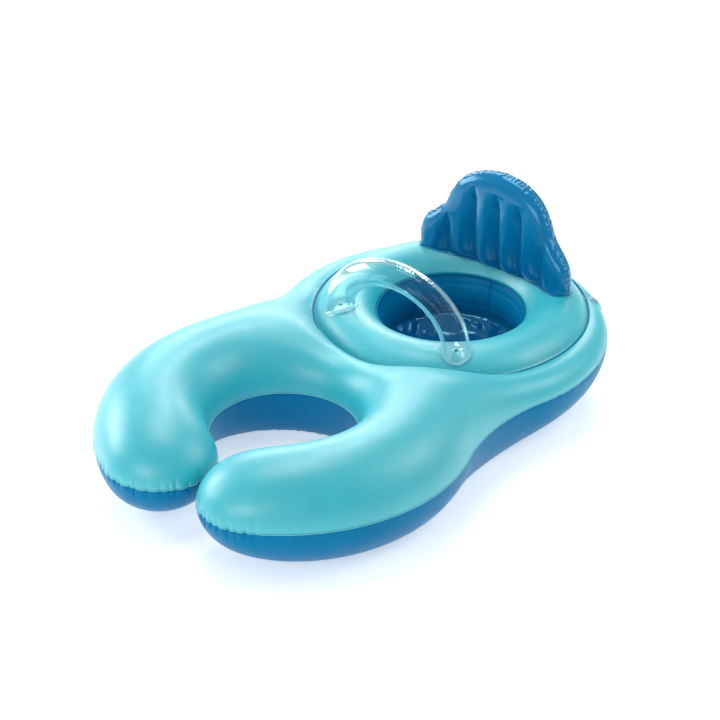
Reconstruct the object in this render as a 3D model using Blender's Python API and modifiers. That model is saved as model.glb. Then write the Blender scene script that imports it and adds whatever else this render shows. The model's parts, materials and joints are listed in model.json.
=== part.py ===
"""Inflatable swim float for a baby and a parent.

A round main float carries a second, raised seat ring round a seat well. In front of it the main
float runs out into two curved arms that make an open, C-shaped ring for the parent. The seat ring
carries a clear inflated grab handle and an inflated backrest, and each of the three air chambers
has its own recessed safety valve.

Everything is modelled about the seat well's vertical axis, in metres, with +Y towards the backrest
and the floor at z = 0. One empty then moves it all so that the origin is the bottom centre of the
whole object.
"""
import math

import bpy
import numpy as np
from mathutils import Vector, geometry

# ---------------------------------------------------------------- driving dimensions (metres)
FILM = 0.0004                 # thickness of the vinyl film
GAP = 0.0003                  # clearance between pieces that are welded or rest on each other
FLANGE = 0.0025               # trimmed weld flange outside a seam

TUBE_RADIUS = 0.1035          # inflated arm, and the height of the outer weld seam
REAR_RADIUS = 0.314           # plan radius of the round rear of the float
REAR_OFFSET = -0.033          # its centre from the seat axis, along Y
BAY_OFFSET = -0.491           # centre of the parent's ring from the seat axis, along Y
BAY_CENTRELINE = 0.241        # plan radius of the arms' centreline
ARM_END_ANGLE = math.radians(27.3)   # from straight ahead to the centre of each arm's round end
WAIST_RADIUS = 0.38           # concave plan radius between the two rings
BELLY = 1.06                  # how much fuller the underside is than a free round section

CREASE_RADIUS = 0.259         # weld of the seat ring on the main float
CREASE_Z = 0.137
CREASE_LAP = 0.004            # width of the lap weld there
WELL_RADIUS = 0.1405          # top edge of the seat well
WELL_Z = 0.1355
RING_BULGE = 0.036            # rise of the seat ring's top sheet over its two welds
WELL_BULGE = 0.008            # how far the well wall swells into the well
RIM_RADIUS = 0.132            # bottom edge of the seat well, where the sling hangs
RIM_Z = 0.060
RIM_LAP = 0.004
SLING_SAG = 0.022
LEG_HOLE_RADIUS = 0.038
LEG_HOLE_X = 0.050
LEG_HOLE_Y = -0.052
HEM_WIDTH = 0.006

BACKREST_Y = 0.163            # middle of the cushion on the centre line, from the seat axis
BACKREST_WRAP = 0.027         # how far the cushion's ends come forward
BACKREST_HALF_WIDTH = 0.172
BACKREST_BASE_Z = 0.170
BACKREST_SIDE = ((0.172, 0.170), (0.174, 0.197), (0.167, 0.225), (0.150, 0.243), (0.127, 0.264),
                 (0.112, 0.298), (0.088, 0.330), (0.047, 0.352), (0.0, 0.360))
BACKREST_HALF_THICKNESS = 0.029
BACKREST_BASE_HALF = 0.046    # drives the width of the cushion's underside, see backrest_base_half
BASE_CLEARANCE = 0.0045       # room under the backrest, which rocks on the seat ring

HANDLE_HALF_SPAN = 0.136
HANDLE_Y = -0.161
HANDLE_RISE = 0.107
HANDLE_RADIUS = 0.0265
HANDLE_CLEARANCE = 0.006      # room under the handle, which sways on its two feet
FOOT_RADIUS = 0.0325
FOOT_LIFT = 0.0009            # room under the foot welds for the facets of both pieces
TRANSFER_HOLE_RADIUS = 0.0025

VALVE_FLANGE_RADIUS = 0.0115
VALVE_FLANGE_HEIGHT = 0.0010
VALVE_HOLE_RADIUS = 0.0065
STEM_RADIUS = 0.0055
STEM_BORE = 0.0038
STEM_DEPTH = 0.0150
LIP_RADIUS = 0.0078
LIP_HEIGHT = 0.0010
PLUG_HEAD_RADIUS = 0.0062
PLUG_HEAD_HEIGHT = 0.0015
PLUG_SHANK_RADIUS = 0.0034
PLUG_SHANK_LENGTH = 0.0070
FLAP_RADIUS = 0.0046
FLAP_HEIGHT = 0.0006
TETHER_RADIUS = 0.0006

FLOAT_VALVE_ANGLE = math.radians(50.0)   # round the rear of the float, from +X
FLOAT_VALVE_RADIUS = 0.277               # from the seat axis
RING_VALVE_RADIUS = 0.222                # behind the backrest, from the seat axis
BACKREST_VALVE_Z = 0.262

SHEET_SPACING = 0.033         # target edge length of the big sheets' mesh
TURN_STEPS = 40               # facets round the seat axis
SMALL_STEPS = 20              # facets round a valve

# worked out from the above
REAR_END = REAR_OFFSET + REAR_RADIUS + FLANGE
FRONT_END = BAY_OFFSET - BAY_CENTRELINE * math.cos(ARM_END_ANGLE) - TUBE_RADIUS - FLANGE
SEAT_Y = -(REAR_END + FRONT_END) / 2
RING_HALF_CHORD = (CREASE_RADIUS - CREASE_LAP - WELL_RADIUS) / 2
RING_MIDDLE = (CREASE_RADIUS - CREASE_LAP + WELL_RADIUS) / 2
RING_ARC = (RING_HALF_CHORD ** 2 + RING_BULGE ** 2) / (2 * RING_BULGE)
RING_EDGE_Z = CREASE_Z + FILM + GAP

COLOURS = {
    "turquoise": (0.115, 0.62, 0.72),
    "ocean_blue": (0.012, 0.215, 0.44),
    "deep_blue": (0.0, 0.10, 0.27),
    "clear": (0.80, 0.90, 0.92),
    "valve": (0.55, 0.78, 0.84),
}


# ---------------------------------------------------------------- scene helpers
def clear_scene():
    for thing in list(bpy.data.objects):
        bpy.data.objects.remove(thing, do_unlink=True)


def new_collection(name):
    group = bpy.data.collections.new(name)
    bpy.context.scene.collection.children.link(group)
    return group


def make_material(name, colour, roughness):
    material = bpy.data.materials.new(name)
    material.use_nodes = True
    shader = material.node_tree.nodes["Principled BSDF"]
    shader.inputs["Base Color"].default_value = (*COLOURS[colour], 1.0)
    shader.inputs["Roughness"].default_value = roughness
    shader.inputs["Metallic"].default_value = 0.0
    return material


def add_object(name, mesh, colour, roughness=0.3, parent=None):
    """Links a mesh as one named piece with its own material."""
    thing = bpy.data.objects.new(name, mesh)
    PIECES.objects.link(thing)
    mesh.materials.append(make_material(name, colour, roughness))
    mesh.shade_smooth()
    thing.parent = parent or SEAT_AXIS
    return thing


def mesh_from(name, points, faces):
    mesh = bpy.data.meshes.new(name)
    mesh.from_pydata([tuple(map(float, p)) for p in points], [], [tuple(map(int, f)) for f in faces])
    mesh.update()
    return mesh


def add_film(thing):
    """Gives an open surface the film's thickness, on the side that its faces point to."""
    solid = thing.modifiers.new("film", "SOLIDIFY")
    solid.thickness = FILM
    solid.offset = 1.0
    solid.use_even_offset = True
    return thing


def cut_round_hole(thing, centre, direction, radius):
    """Cuts a round hole through a film at a point, along a direction."""
    bpy.ops.mesh.primitive_cylinder_add(vertices=SMALL_STEPS, radius=radius, depth=0.012)
    cutter = bpy.context.object
    cutter.name = thing.name + "_cutter"
    for group in cutter.users_collection:
        group.objects.unlink(cutter)
    CUTTERS.objects.link(cutter)
    cutter.parent = SEAT_AXIS
    cutter.location = centre
    cutter.rotation_euler = Vector(direction).to_track_quat("Z", "Y").to_euler()
    cutter.hide_render = True
    cutter.display_type = "WIRE"
    hole = thing.modifiers.new("hole", "BOOLEAN")
    hole.operation = "DIFFERENCE"
    hole.object = cutter


def turned(name, profile, colour, steps, parent=None, roughness=0.3):
    """Turns a profile of (radius, height) points round Z. It runs down the outer side."""
    points = [(r, 0.0, z) for r, z in profile]
    mesh = bpy.data.meshes.new(name)
    mesh.from_pydata(points, [(i, i + 1) for i in range(len(points) - 1)], [])
    thing = add_object(name, mesh, colour, roughness, parent)
    screw = thing.modifiers.new("turn", "SCREW")
    screw.steps = screw.render_steps = steps
    screw.use_merge_vertices = True
    screw.merge_threshold = 0.00001
    return thing


# ---------------------------------------------------------------- plan outlines and planar meshes
def arc(centre_x, centre_y, radius, start, end, step):
    count = max(3, round(abs(end - start) * radius / step))
    angles = np.linspace(start, end, count + 1)
    return np.stack([centre_x + radius * np.cos(angles), centre_y + radius * np.sin(angles)], 1)


def circle(centre_x, centre_y, radius, count):
    angles = np.arange(count) * 2 * math.pi / count
    return np.stack([centre_x + radius * np.cos(angles), centre_y + radius * np.sin(angles)], 1)


def float_outline(step):
    """The outer weld seam in plan, anticlockwise, made of tangent arcs and mirrored in X."""
    outer = BAY_CENTRELINE + TUBE_RADIUS
    inner = BAY_CENTRELINE - TUBE_RADIUS
    from_rear, from_bay = REAR_RADIUS + WAIST_RADIUS, outer + WAIST_RADIUS
    span = REAR_OFFSET - BAY_OFFSET
    along = (from_bay ** 2 - from_rear ** 2 + span ** 2) / (2 * span)
    waist_x, waist_y = math.sqrt(from_bay ** 2 - along ** 2), BAY_OFFSET + along
    turn = 2 * math.pi
    end = -math.pi / 2 + ARM_END_ANGLE
    to_rear = math.atan2(REAR_OFFSET - waist_y, -waist_x) % turn
    to_bay = math.atan2(BAY_OFFSET - waist_y, -waist_x) % turn
    tip_x = BAY_CENTRELINE * math.cos(end)
    tip_y = BAY_OFFSET + BAY_CENTRELINE * math.sin(end)
    rear_end = math.atan2(waist_y - REAR_OFFSET, waist_x)
    outer_start = math.atan2(waist_y - BAY_OFFSET, waist_x)
    stretches = [
        arc(0, REAR_OFFSET, REAR_RADIUS, math.pi / 2, rear_end, step),
        arc(waist_x, waist_y, WAIST_RADIUS, to_rear, to_bay, step),
        arc(0, BAY_OFFSET, outer, outer_start, end, step),
        arc(tip_x, tip_y, TUBE_RADIUS, end, end - math.pi, step * 0.8),
        arc(0, BAY_OFFSET, inner, end, math.pi / 2, step * 0.8),
    ]
    right = np.concatenate([stretches[0]] + [s[1:] for s in stretches[1:]])
    left = right[-2:0:-1] * (-1, 1)
    return np.concatenate([right, left])[::-1]


def offset_loop(loop, depth):
    """Moves a closed anticlockwise loop inwards by depth, or outwards if it is negative."""
    ahead = np.roll(loop, -1, 0) - loop
    ahead /= np.linalg.norm(ahead, axis=1)[:, None]
    inward = np.stack([-ahead[:, 1], ahead[:, 0]], 1)
    both = inward + np.roll(inward, 1, 0)
    return loop + both * (2 * depth / (both ** 2).sum(1))[:, None]


def is_inside(points, loop):
    x, y = points[:, 0][:, None], points[:, 1][:, None]
    x0, y0 = loop[:, 0], loop[:, 1]
    x1, y1 = np.roll(x0, -1), np.roll(y0, -1)
    rise = np.where(y1 == y0, 1e-12, y1 - y0)
    crosses = ((y0 > y) != (y1 > y)) & (x < (x1 - x0) * (y - y0) / rise + x0)
    return crosses.sum(1) % 2 == 1


def distance_to(points, loop):
    start, step = loop, np.roll(loop, -1, 0) - loop
    away = points[:, None] - start[None]
    share = np.clip((away * step).sum(2) / (step ** 2).sum(1), 0, 1)
    return np.linalg.norm(away - share[..., None] * step, axis=2).min(1)


def planar_mesh(outer, holes, spacing, depths=()):
    """Triangulates a region with holes: graded rows along the outer loop, then an even grid."""
    loops = [outer] + list(holes)
    rows = [np.concatenate(loops)]
    clear = 0.55 * spacing
    for depth in depths:
        row = offset_loop(outer, depth)
        keep = is_inside(row, outer) & (distance_to(row, outer) > 0.9 * depth)
        for hole in holes:
            keep &= distance_to(row, hole) > clear * 0.6
            keep &= ~is_inside(row, hole)
        rows.append(row[keep])
    low, high = outer.min(0), outer.max(0)
    tall = spacing * math.sqrt(3) / 2
    row_count = int((high[1] - low[1]) / tall) + 2
    half = int(max(-low[0], high[0]) / spacing) + 2
    grid = np.array([((i + 0.5 * (j % 2)) * spacing, low[1] + j * tall)
                     for j in range(row_count) for i in range(-half, half)])
    deepest = depths[-1] if depths else 0
    keep = is_inside(grid, outer) & (distance_to(grid, outer) > deepest + clear)
    for hole in holes:
        keep &= ~is_inside(grid, hole) & (distance_to(grid, hole) > clear)
    rows.append(grid[keep])
    points = np.concatenate([r for r in rows if len(r)])
    edges, first = [], 0
    for loop in loops:
        count = len(loop)
        edges += [(first + i, first + (i + 1) % count) for i in range(count)]
        first += count
    found = geometry.delaunay_2d_cdt([Vector(p) for p in points], edges, [], 0, 1e-7)
    flat = np.array([tuple(v) for v in found[0]])
    faces = np.array([f for f in found[2]])
    middle = flat[faces].mean(1)
    keep = is_inside(middle, outer)
    for hole in holes:
        keep &= ~is_inside(middle, hole)
    faces = faces[keep]
    one, two, three = flat[faces[:, 0]], flat[faces[:, 1]], flat[faces[:, 2]]
    area = np.cross(two - one, three - one)
    faces[area < 0] = faces[area < 0][:, ::-1]
    return flat, faces


def swell(flat, faces, fixed, limit=None):
    """Height of a sheet blown up over a region: a strip of it gets an exact half-round section.

    Half the squared height has a Laplacian of -1, so it is solved with linear triangles. fixed is
    an array of edge heights, nan where free, and limit a height that broad regions flatten to.
    """
    count = len(flat)
    stiff = np.zeros((count, count))
    load = np.zeros(count)
    for face in faces:
        corner = flat[face]
        edge = np.roll(corner, -2, 0) - np.roll(corner, -1, 0)
        area = abs(np.cross(corner[1] - corner[0], corner[2] - corner[0])) / 2
        stiff[np.ix_(face, face)] += edge @ edge.T / (4 * area)
        load[face] += area / 3
        if limit:
            stiff[face, face] += 2 / limit ** 2 * area / 3
    known = ~np.isnan(fixed)
    value = np.where(known, fixed, 0) ** 2 / 2
    free = ~known
    rest = load[free] - stiff[np.ix_(free, known)] @ value[known]
    value[free] = np.linalg.solve(stiff[np.ix_(free, free)], rest)
    return np.sqrt(2 * np.maximum(value, 0))


def add_flange(points, faces, loop, flange):
    """Adds a row of new points beyond the open edge that runs through the points at loop."""
    points, faces = list(points), [tuple(f) for f in faces]
    made = {}
    for index, place in zip(loop, flange):
        made[int(index)] = len(points)
        points.append(place)
    directed = {(f[i], f[(i + 1) % len(f)]) for f in faces for i in range(len(f))}
    for one, two in directed:
        if (two, one) not in directed and one in made and two in made:
            faces.append((two, one, made[one], made[two]))
    return points, faces


def nearest(flat, loop):
    return np.array([int(np.argmin(((flat - p) ** 2).sum(1))) for p in loop])


# ---------------------------------------------------------------- the seat ring's surface
def ring_height(x, y, lift=0.0):
    """Height of the seat ring's top sheet at a plan point, plus a lift."""
    across = np.hypot(x, y) - RING_MIDDLE
    inside = np.maximum(RING_ARC ** 2 - across ** 2, 0)
    height = RING_EDGE_Z + RING_BULGE - RING_ARC + np.sqrt(inside)
    return np.maximum(height, RING_EDGE_Z) + FILM + lift


def conforming_ring(name, centre, inner, outer, height, colour):
    """A flat ring of film that lies on a curved surface."""
    rows = 3
    points, faces = [], []
    for row in range(rows + 1):
        radius = inner + (outer - inner) * row / rows
        for x, y in circle(*centre, radius, SMALL_STEPS):
            points.append((x, y, height(x, y)))
    for row in range(rows):
        for i in range(SMALL_STEPS):
            a = row * SMALL_STEPS + i
            b = row * SMALL_STEPS + (i + 1) % SMALL_STEPS
            faces.append((a, a + SMALL_STEPS, b + SMALL_STEPS, b))
    return add_film(add_object(name, mesh_from(name, points, faces), colour))


# ---------------------------------------------------------------- main float
def build_float_sheets():
    outline = float_outline(SHEET_SPACING)
    depths = (0.07 * TUBE_RADIUS, 0.28 * TUBE_RADIUS)
    brim = offset_loop(outline, -FLANGE)

    crease = circle(0, 0, CREASE_RADIUS, TURN_STEPS)
    flat, faces = planar_mesh(outline, [crease], SHEET_SPACING, depths)
    fixed = np.full(len(flat), np.nan)
    at_seam, at_crease = nearest(flat, outline), nearest(flat, crease)
    seam_top = TUBE_RADIUS + GAP / 2
    fixed[at_seam] = 0
    fixed[at_crease] = CREASE_Z - seam_top
    height = seam_top + swell(flat, faces, fixed)
    points = np.column_stack([flat, height])
    lap = circle(0, 0, CREASE_RADIUS - CREASE_LAP, TURN_STEPS)
    points, faces = add_flange(points, faces, at_seam, [(x, y, seam_top) for x, y in brim])
    points, faces = add_flange(points, faces, at_crease, [(x, y, CREASE_Z) for x, y in lap])
    top = add_film(add_object("float_top_sheet", mesh_from("float_top_sheet", points, faces),
                              "turquoise"))

    rim = circle(0, 0, RIM_RADIUS, TURN_STEPS)
    flat, faces = planar_mesh(outline, [rim], SHEET_SPACING, depths)
    fixed = np.full(len(flat), np.nan)
    at_seam, at_rim = nearest(flat, outline), nearest(flat, rim)
    seam_bottom = TUBE_RADIUS - GAP / 2
    rim_z = RIM_Z - 2 * (FILM + GAP)
    fixed[at_seam] = 0
    fixed[at_rim] = (seam_bottom - rim_z) / BELLY
    height = np.maximum(seam_bottom - BELLY * swell(flat, faces, fixed), FILM)
    points = np.column_stack([flat, height])
    lap = circle(0, 0, RIM_RADIUS - RIM_LAP, TURN_STEPS)
    faces = [tuple(f)[::-1] for f in faces]
    points, faces = add_flange(points, faces, at_seam, [(x, y, seam_bottom) for x, y in brim])
    points, faces = add_flange(points, faces, at_rim, [(x, y, rim_z) for x, y in lap])
    add_film(add_object("float_bottom_sheet", mesh_from("float_bottom_sheet", points, faces),
                        "ocean_blue"))
    return top


# ---------------------------------------------------------------- seat ring and seat well
def build_seat_ring():
    sweep = math.asin(RING_HALF_CHORD / RING_ARC)
    centre_z = RING_EDGE_Z + RING_BULGE - RING_ARC
    bend = [(RING_MIDDLE + RING_ARC * math.sin(a), centre_z + RING_ARC * math.cos(a))
            for a in np.linspace(-sweep, sweep, 9)]
    profile = bend + [(CREASE_RADIUS - GAP, RING_EDGE_Z)]
    top = add_film(turned("ring_top_sheet", profile, "turquoise", TURN_STEPS))

    outer_z = CREASE_Z - GAP - FILM
    inner_z = WELL_Z - 2 * GAP - 2 * FILM
    profile = [(WELL_RADIUS + GAP, inner_z), (RING_MIDDLE, (inner_z + outer_z) / 2),
               (CREASE_RADIUS - GAP, outer_z)]
    add_film(turned("ring_partition_sheet", profile, "ocean_blue", TURN_STEPS))
    return top


def build_seat_well():
    top_z = WELL_Z - GAP - FILM
    profile = [(RIM_RADIUS - RIM_LAP, RIM_Z)]
    for share in np.linspace(0, 1, 5):
        swelled = WELL_BULGE * math.sin(math.pi * share)
        radius = RIM_RADIUS + (WELL_RADIUS - 2 * GAP - RIM_RADIUS) * share - swelled
        profile.append((radius, RIM_Z + (top_z - RIM_Z) * share))
    profile.append((WELL_RADIUS + CREASE_LAP, top_z))
    add_film(turned("seat_well_wall", profile, "ocean_blue", TURN_STEPS))

    def sling_height(x, y, lift=0.0):
        inside = RIM_RADIUS - RIM_LAP
        share = np.minimum((x ** 2 + y ** 2) / inside ** 2, 1)
        return RIM_Z - FILM - GAP - SLING_SAG * (1 - share) + lift

    rim = circle(0, 0, RIM_RADIUS, TURN_STEPS)
    holes = [circle(side * LEG_HOLE_X, LEG_HOLE_Y, LEG_HOLE_RADIUS, SMALL_STEPS)
             for side in (-1, 1)]
    flat, faces = planar_mesh(rim, holes, 0.024, (RIM_LAP,))
    points = [(x, y, sling_height(x, y)) for x, y in flat]
    add_film(add_object("seat_sling", mesh_from("seat_sling", points, faces), "deep_blue"))
    for side, name in ((-1, "left"), (1, "right")):
        conforming_ring(
            "leg_hole_hem_" + name, (side * LEG_HOLE_X, LEG_HOLE_Y), LEG_HOLE_RADIUS,
            LEG_HOLE_RADIUS + HEM_WIDTH, lambda x, y: sling_height(x, y, FILM + 2 * GAP),
            "ocean_blue")


# ---------------------------------------------------------------- backrest
def backrest_middle(x):
    return BACKREST_Y - BACKREST_WRAP * (x / BACKREST_HALF_WIDTH) ** 2


def backrest_base_half(x):
    """Half the cushion's depth where it sits on the ring: slim in the middle, full near the ends."""
    share = np.abs(x) / BACKREST_HALF_WIDTH
    return BACKREST_BASE_HALF * (0.1 + 0.9 * share ** 2) * np.sqrt(np.maximum(1 - share ** 6, 0))


def settle(x, y, z):
    """Lets the cushion's lower edge follow the seat ring at the clearance that it rocks on."""
    share = np.clip(1 - (z - BACKREST_BASE_Z) / 0.05, 0, 1)
    return z + (ring_height(x, y, BASE_CLEARANCE) - BACKREST_BASE_Z) * share


def smooth_curve(points, step):
    """Points a step apart on a Catmull-Rom curve through the given ones."""
    given = np.array(points)
    padded = np.concatenate([2 * given[:1] - given[1:2], given, 2 * given[-1:] - given[-2:-1]])
    out = []
    for p0, p1, p2, p3 in zip(padded, padded[1:], padded[2:], padded[3:]):
        count = max(1, round(np.linalg.norm(p2 - p1) / step))
        for t in np.arange(count) / count:
            out.append(0.5 * (2 * p1 + (p2 - p0) * t + (2 * p0 - 5 * p1 + 4 * p2 - p3) * t ** 2
                              + (3 * p1 - p0 - 3 * p2 + p3) * t ** 3))
    out.append(given[-1])
    return np.array(out)


def build_backrest():
    side = smooth_curve(BACKREST_SIDE, 0.015)
    crown = np.concatenate([side, side[-2::-1] * (-1, 1)])
    base_count = 20
    base_x = np.linspace(-BACKREST_HALF_WIDTH, BACKREST_HALF_WIDTH, base_count + 1)[1:-1]
    base = np.column_stack([base_x, np.full(base_count - 1, BACKREST_BASE_Z)])
    outline = np.concatenate([crown, base])
    flat, faces = planar_mesh(outline, [], 0.020, (0.006,))
    fixed = np.full(len(flat), np.nan)
    at_crown, at_base = nearest(flat, crown), nearest(flat, base)
    fixed[at_crown] = 0
    fixed[at_base] = backrest_base_half(base[:, 0])
    thick = swell(flat, faces, fixed, BACKREST_HALF_THICKNESS)
    brim = offset_loop(outline, -FLANGE)[:len(crown)]
    brim[:, 1] = np.maximum(brim[:, 1], BACKREST_BASE_Z)
    for name, way in (("backrest_front_panel", -1), ("backrest_rear_panel", 1)):
        y = backrest_middle(flat[:, 0]) + way * (thick + GAP / 2)
        points = np.column_stack([flat[:, 0], y, settle(flat[:, 0], y, flat[:, 1])])
        turned_faces = faces if way < 0 else faces[:, ::-1]
        brim_y = backrest_middle(brim[:, 0]) + way * GAP / 2
        edge = np.column_stack([brim[:, 0], brim_y, settle(brim[:, 0], brim_y, brim[:, 1])])
        made, made_faces = add_flange(points, turned_faces, at_crown, edge)
        add_film(add_object(name, mesh_from(name, made, made_faces), "deep_blue"))

    rows, columns = 20, 3
    points, faces = [], []
    for x in np.linspace(-0.155, 0.155, rows + 1):
        half = backrest_base_half(x) - 2 * GAP
        for share in np.linspace(-1, 1, columns + 1):
            y = backrest_middle(x) + share * half
            points.append((x, y, settle(x, y, BACKREST_BASE_Z) + FILM))
    wide = columns + 1
    for row in range(rows):
        for column in range(columns):
            a = row * wide + column
            faces.append((a, a + 1, a + 1 + wide, a + wide))
    add_film(add_object("backrest_base_gusset", mesh_from("backrest_base_gusset", points, faces),
                        "deep_blue"))


# ---------------------------------------------------------------- grab handle
def build_handle():
    foot_z = float(ring_height(HANDLE_HALF_SPAN, HANDLE_Y))
    for side, name in ((-1, "left"), (1, "right")):
        conforming_ring(
            "handle_foot_weld_" + name, (side * HANDLE_HALF_SPAN, HANDLE_Y),
            TRANSFER_HOLE_RADIUS, FOOT_RADIUS, lambda x, y: ring_height(x, y, FOOT_LIFT), "clear")

    stations, sides = 26, 6
    for name, way in (("handle_front_panel", -1), ("handle_rear_panel", 1)):
        points, faces = [], []
        for angle in np.linspace(0, math.pi, stations + 1):
            x, z = HANDLE_HALF_SPAN * math.cos(angle), foot_z + HANDLE_RISE * math.sin(angle)
            normal = Vector((HANDLE_RISE * math.cos(angle), 0,
                             HANDLE_HALF_SPAN * math.sin(angle))).normalized()
            middle = Vector((x, HANDLE_Y + way * GAP / 2, z))
            row = [middle + normal * (HANDLE_RADIUS + FLANGE)]
            for turn in np.linspace(0, math.pi, sides + 1):
                row.append(middle + normal * HANDLE_RADIUS * math.cos(turn)
                           + Vector((0, way * HANDLE_RADIUS * math.sin(turn), 0)))
            row.append(middle - normal * (HANDLE_RADIUS + FLANGE))
            for place in row:
                floor = float(ring_height(place.x, place.y, HANDLE_CLEARANCE))
                place.z = max(place.z, floor)
            points += row
        wide = sides + 3
        for station in range(stations):
            for column in range(wide - 1):
                a = station * wide + column
                face = (a, a + 1, a + 1 + wide, a + wide)
                faces.append(face[::-1] if way < 0 else face)
        add_film(add_object(name, mesh_from(name, points, faces), "clear", 0.08))


# ---------------------------------------------------------------- safety valves
def build_valve(name, place, outward):
    """A recessed push-in valve: flange, sliding stem, plug on a tether, and inner check flap."""
    mount = bpy.data.objects.new(name + "_axis", None)
    PIECES.objects.link(mount)
    mount.parent = SEAT_AXIS
    mount.location = Vector(place) + Vector(outward).normalized() * GAP
    mount.rotation_euler = Vector(outward).to_track_quat("Z", "Y").to_euler()

    flange = [(VALVE_HOLE_RADIUS, VALVE_FLANGE_HEIGHT), (VALVE_FLANGE_RADIUS - 0.0005,
              VALVE_FLANGE_HEIGHT), (VALVE_FLANGE_RADIUS, 0), (VALVE_HOLE_RADIUS, 0)]
    turned(name + "_flange", flange + flange[:1], "valve", SMALL_STEPS, mount)

    lip_low = VALVE_FLANGE_HEIGHT + GAP
    lip_top = lip_low + LIP_HEIGHT
    stem = [(STEM_BORE, lip_top), (LIP_RADIUS, lip_top), (LIP_RADIUS, lip_low),
            (STEM_RADIUS, lip_low), (STEM_RADIUS, -STEM_DEPTH), (STEM_BORE, -STEM_DEPTH)]
    turned(name + "_stem", stem + stem[:1], "valve", SMALL_STEPS, mount)

    head_low = lip_top + GAP
    head_top = head_low + PLUG_HEAD_HEIGHT
    plug = [(0, head_top), (PLUG_HEAD_RADIUS, head_top), (PLUG_HEAD_RADIUS, head_low),
            (PLUG_SHANK_RADIUS, head_low), (PLUG_SHANK_RADIUS, head_low - PLUG_SHANK_LENGTH),
            (0, head_low - PLUG_SHANK_LENGTH)]
    turned(name + "_plug", plug, "valve", SMALL_STEPS, mount)

    flap_top = -STEM_DEPTH - GAP
    flap = [(0, flap_top), (FLAP_RADIUS, flap_top), (FLAP_RADIUS, flap_top - FLAP_HEIGHT),
            (0, flap_top - FLAP_HEIGHT)]
    turned(name + "_flap", flap, "valve", SMALL_STEPS, mount)

    start = LIP_RADIUS + GAP
    level = (lip_low + lip_top) / 2
    end = PLUG_HEAD_RADIUS + GAP
    head_level = (head_low + head_top) / 2
    outermost = LIP_RADIUS + 0.0026
    route = [(start, level), (outermost - 0.0006, level), (outermost, (level + head_level) / 2),
             (outermost - 0.0006, head_level), (end, head_level)]
    curve = bpy.data.curves.new(name + "_tether", "CURVE")
    curve.dimensions = "3D"
    curve.bevel_depth = TETHER_RADIUS
    curve.bevel_resolution = 2
    curve.use_fill_caps = True
    spline = curve.splines.new("POLY")
    spline.points.add(len(route) - 1)
    for point, (x, z) in zip(spline.points, route):
        point.co = (x, 0, z, 1)
    tether = bpy.data.objects.new(name + "_tether", curve)
    PIECES.objects.link(tether)
    curve.materials.append(make_material(name + "_tether", "valve", 0.3))
    tether.parent = mount


def surface_point(thing, x, y):
    """Where a vertical line through a plan point first meets a piece from above, and its slope."""
    bpy.context.view_layer.update()
    seen = thing.evaluated_get(bpy.context.evaluated_depsgraph_get())
    _, place, normal, _ = seen.ray_cast(Vector((x, y, 1.0)), Vector((0, 0, -1)))
    return place, normal


def build_valves(float_top, ring_top):
    reach = VALVE_HOLE_RADIUS - GAP
    x = FLOAT_VALVE_RADIUS * math.cos(FLOAT_VALVE_ANGLE)
    y = FLOAT_VALVE_RADIUS * math.sin(FLOAT_VALVE_ANGLE)
    place, outward = surface_point(float_top, x, y)
    cut_round_hole(float_top, place, outward, reach)
    build_valve("float_valve", place + outward * FILM, outward)

    place, outward = surface_point(ring_top, 0, RING_VALVE_RADIUS)
    cut_round_hole(ring_top, place, outward, reach)
    build_valve("ring_valve", place + outward * FILM, outward)

    rear_panel = bpy.data.objects["backrest_rear_panel"]
    bpy.context.view_layer.update()
    seen = rear_panel.evaluated_get(bpy.context.evaluated_depsgraph_get())
    start = Vector((0, BACKREST_Y + 0.2, BACKREST_VALVE_Z))
    _, place, _, _ = seen.ray_cast(start, Vector((0, -1, 0)))
    outward = Vector((0, 1, 0))
    cut_round_hole(rear_panel, place, outward, reach)
    build_valve("backrest_valve", place + outward * FILM, outward)


def build_transfer_holes(ring_top):
    """The air holes through which the handle fills from the seat ring."""
    for side in (-1, 1):
        place, outward = surface_point(ring_top, side * HANDLE_HALF_SPAN, HANDLE_Y)
        cut_round_hole(ring_top, place, outward, TRANSFER_HOLE_RADIUS)


clear_scene()
PIECES = new_collection("swim_float")
CUTTERS = new_collection("cutters")
SEAT_AXIS = bpy.data.objects.new("seat_axis", None)
SEAT_AXIS.location = (0, SEAT_Y, 0)
PIECES.objects.link(SEAT_AXIS)

FLOAT_TOP = build_float_sheets()
RING_TOP = build_seat_ring()
build_seat_well()
build_backrest()
build_handle()
build_valves(FLOAT_TOP, RING_TOP)
build_transfer_holes(RING_TOP)
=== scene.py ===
"""Looks of the inflatable swim float.

Each vinyl sheet is built again at a fine pitch as blown-up film: its plan outline is swelled by the
same membrane equation that shaped the CAD solids, then the weld seams get their puckers, the
backrest its welded channels and the seat sling its slack. Everything is worked out about the seat
well's axis, with +Y towards the backrest, and moved to the frame by SEAT_Y as it is added.
"""
import json
import math

import bmesh
import bpy
import numpy as np
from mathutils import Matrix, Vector, geometry
from mathutils.bvhtree import BVHTree


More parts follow.
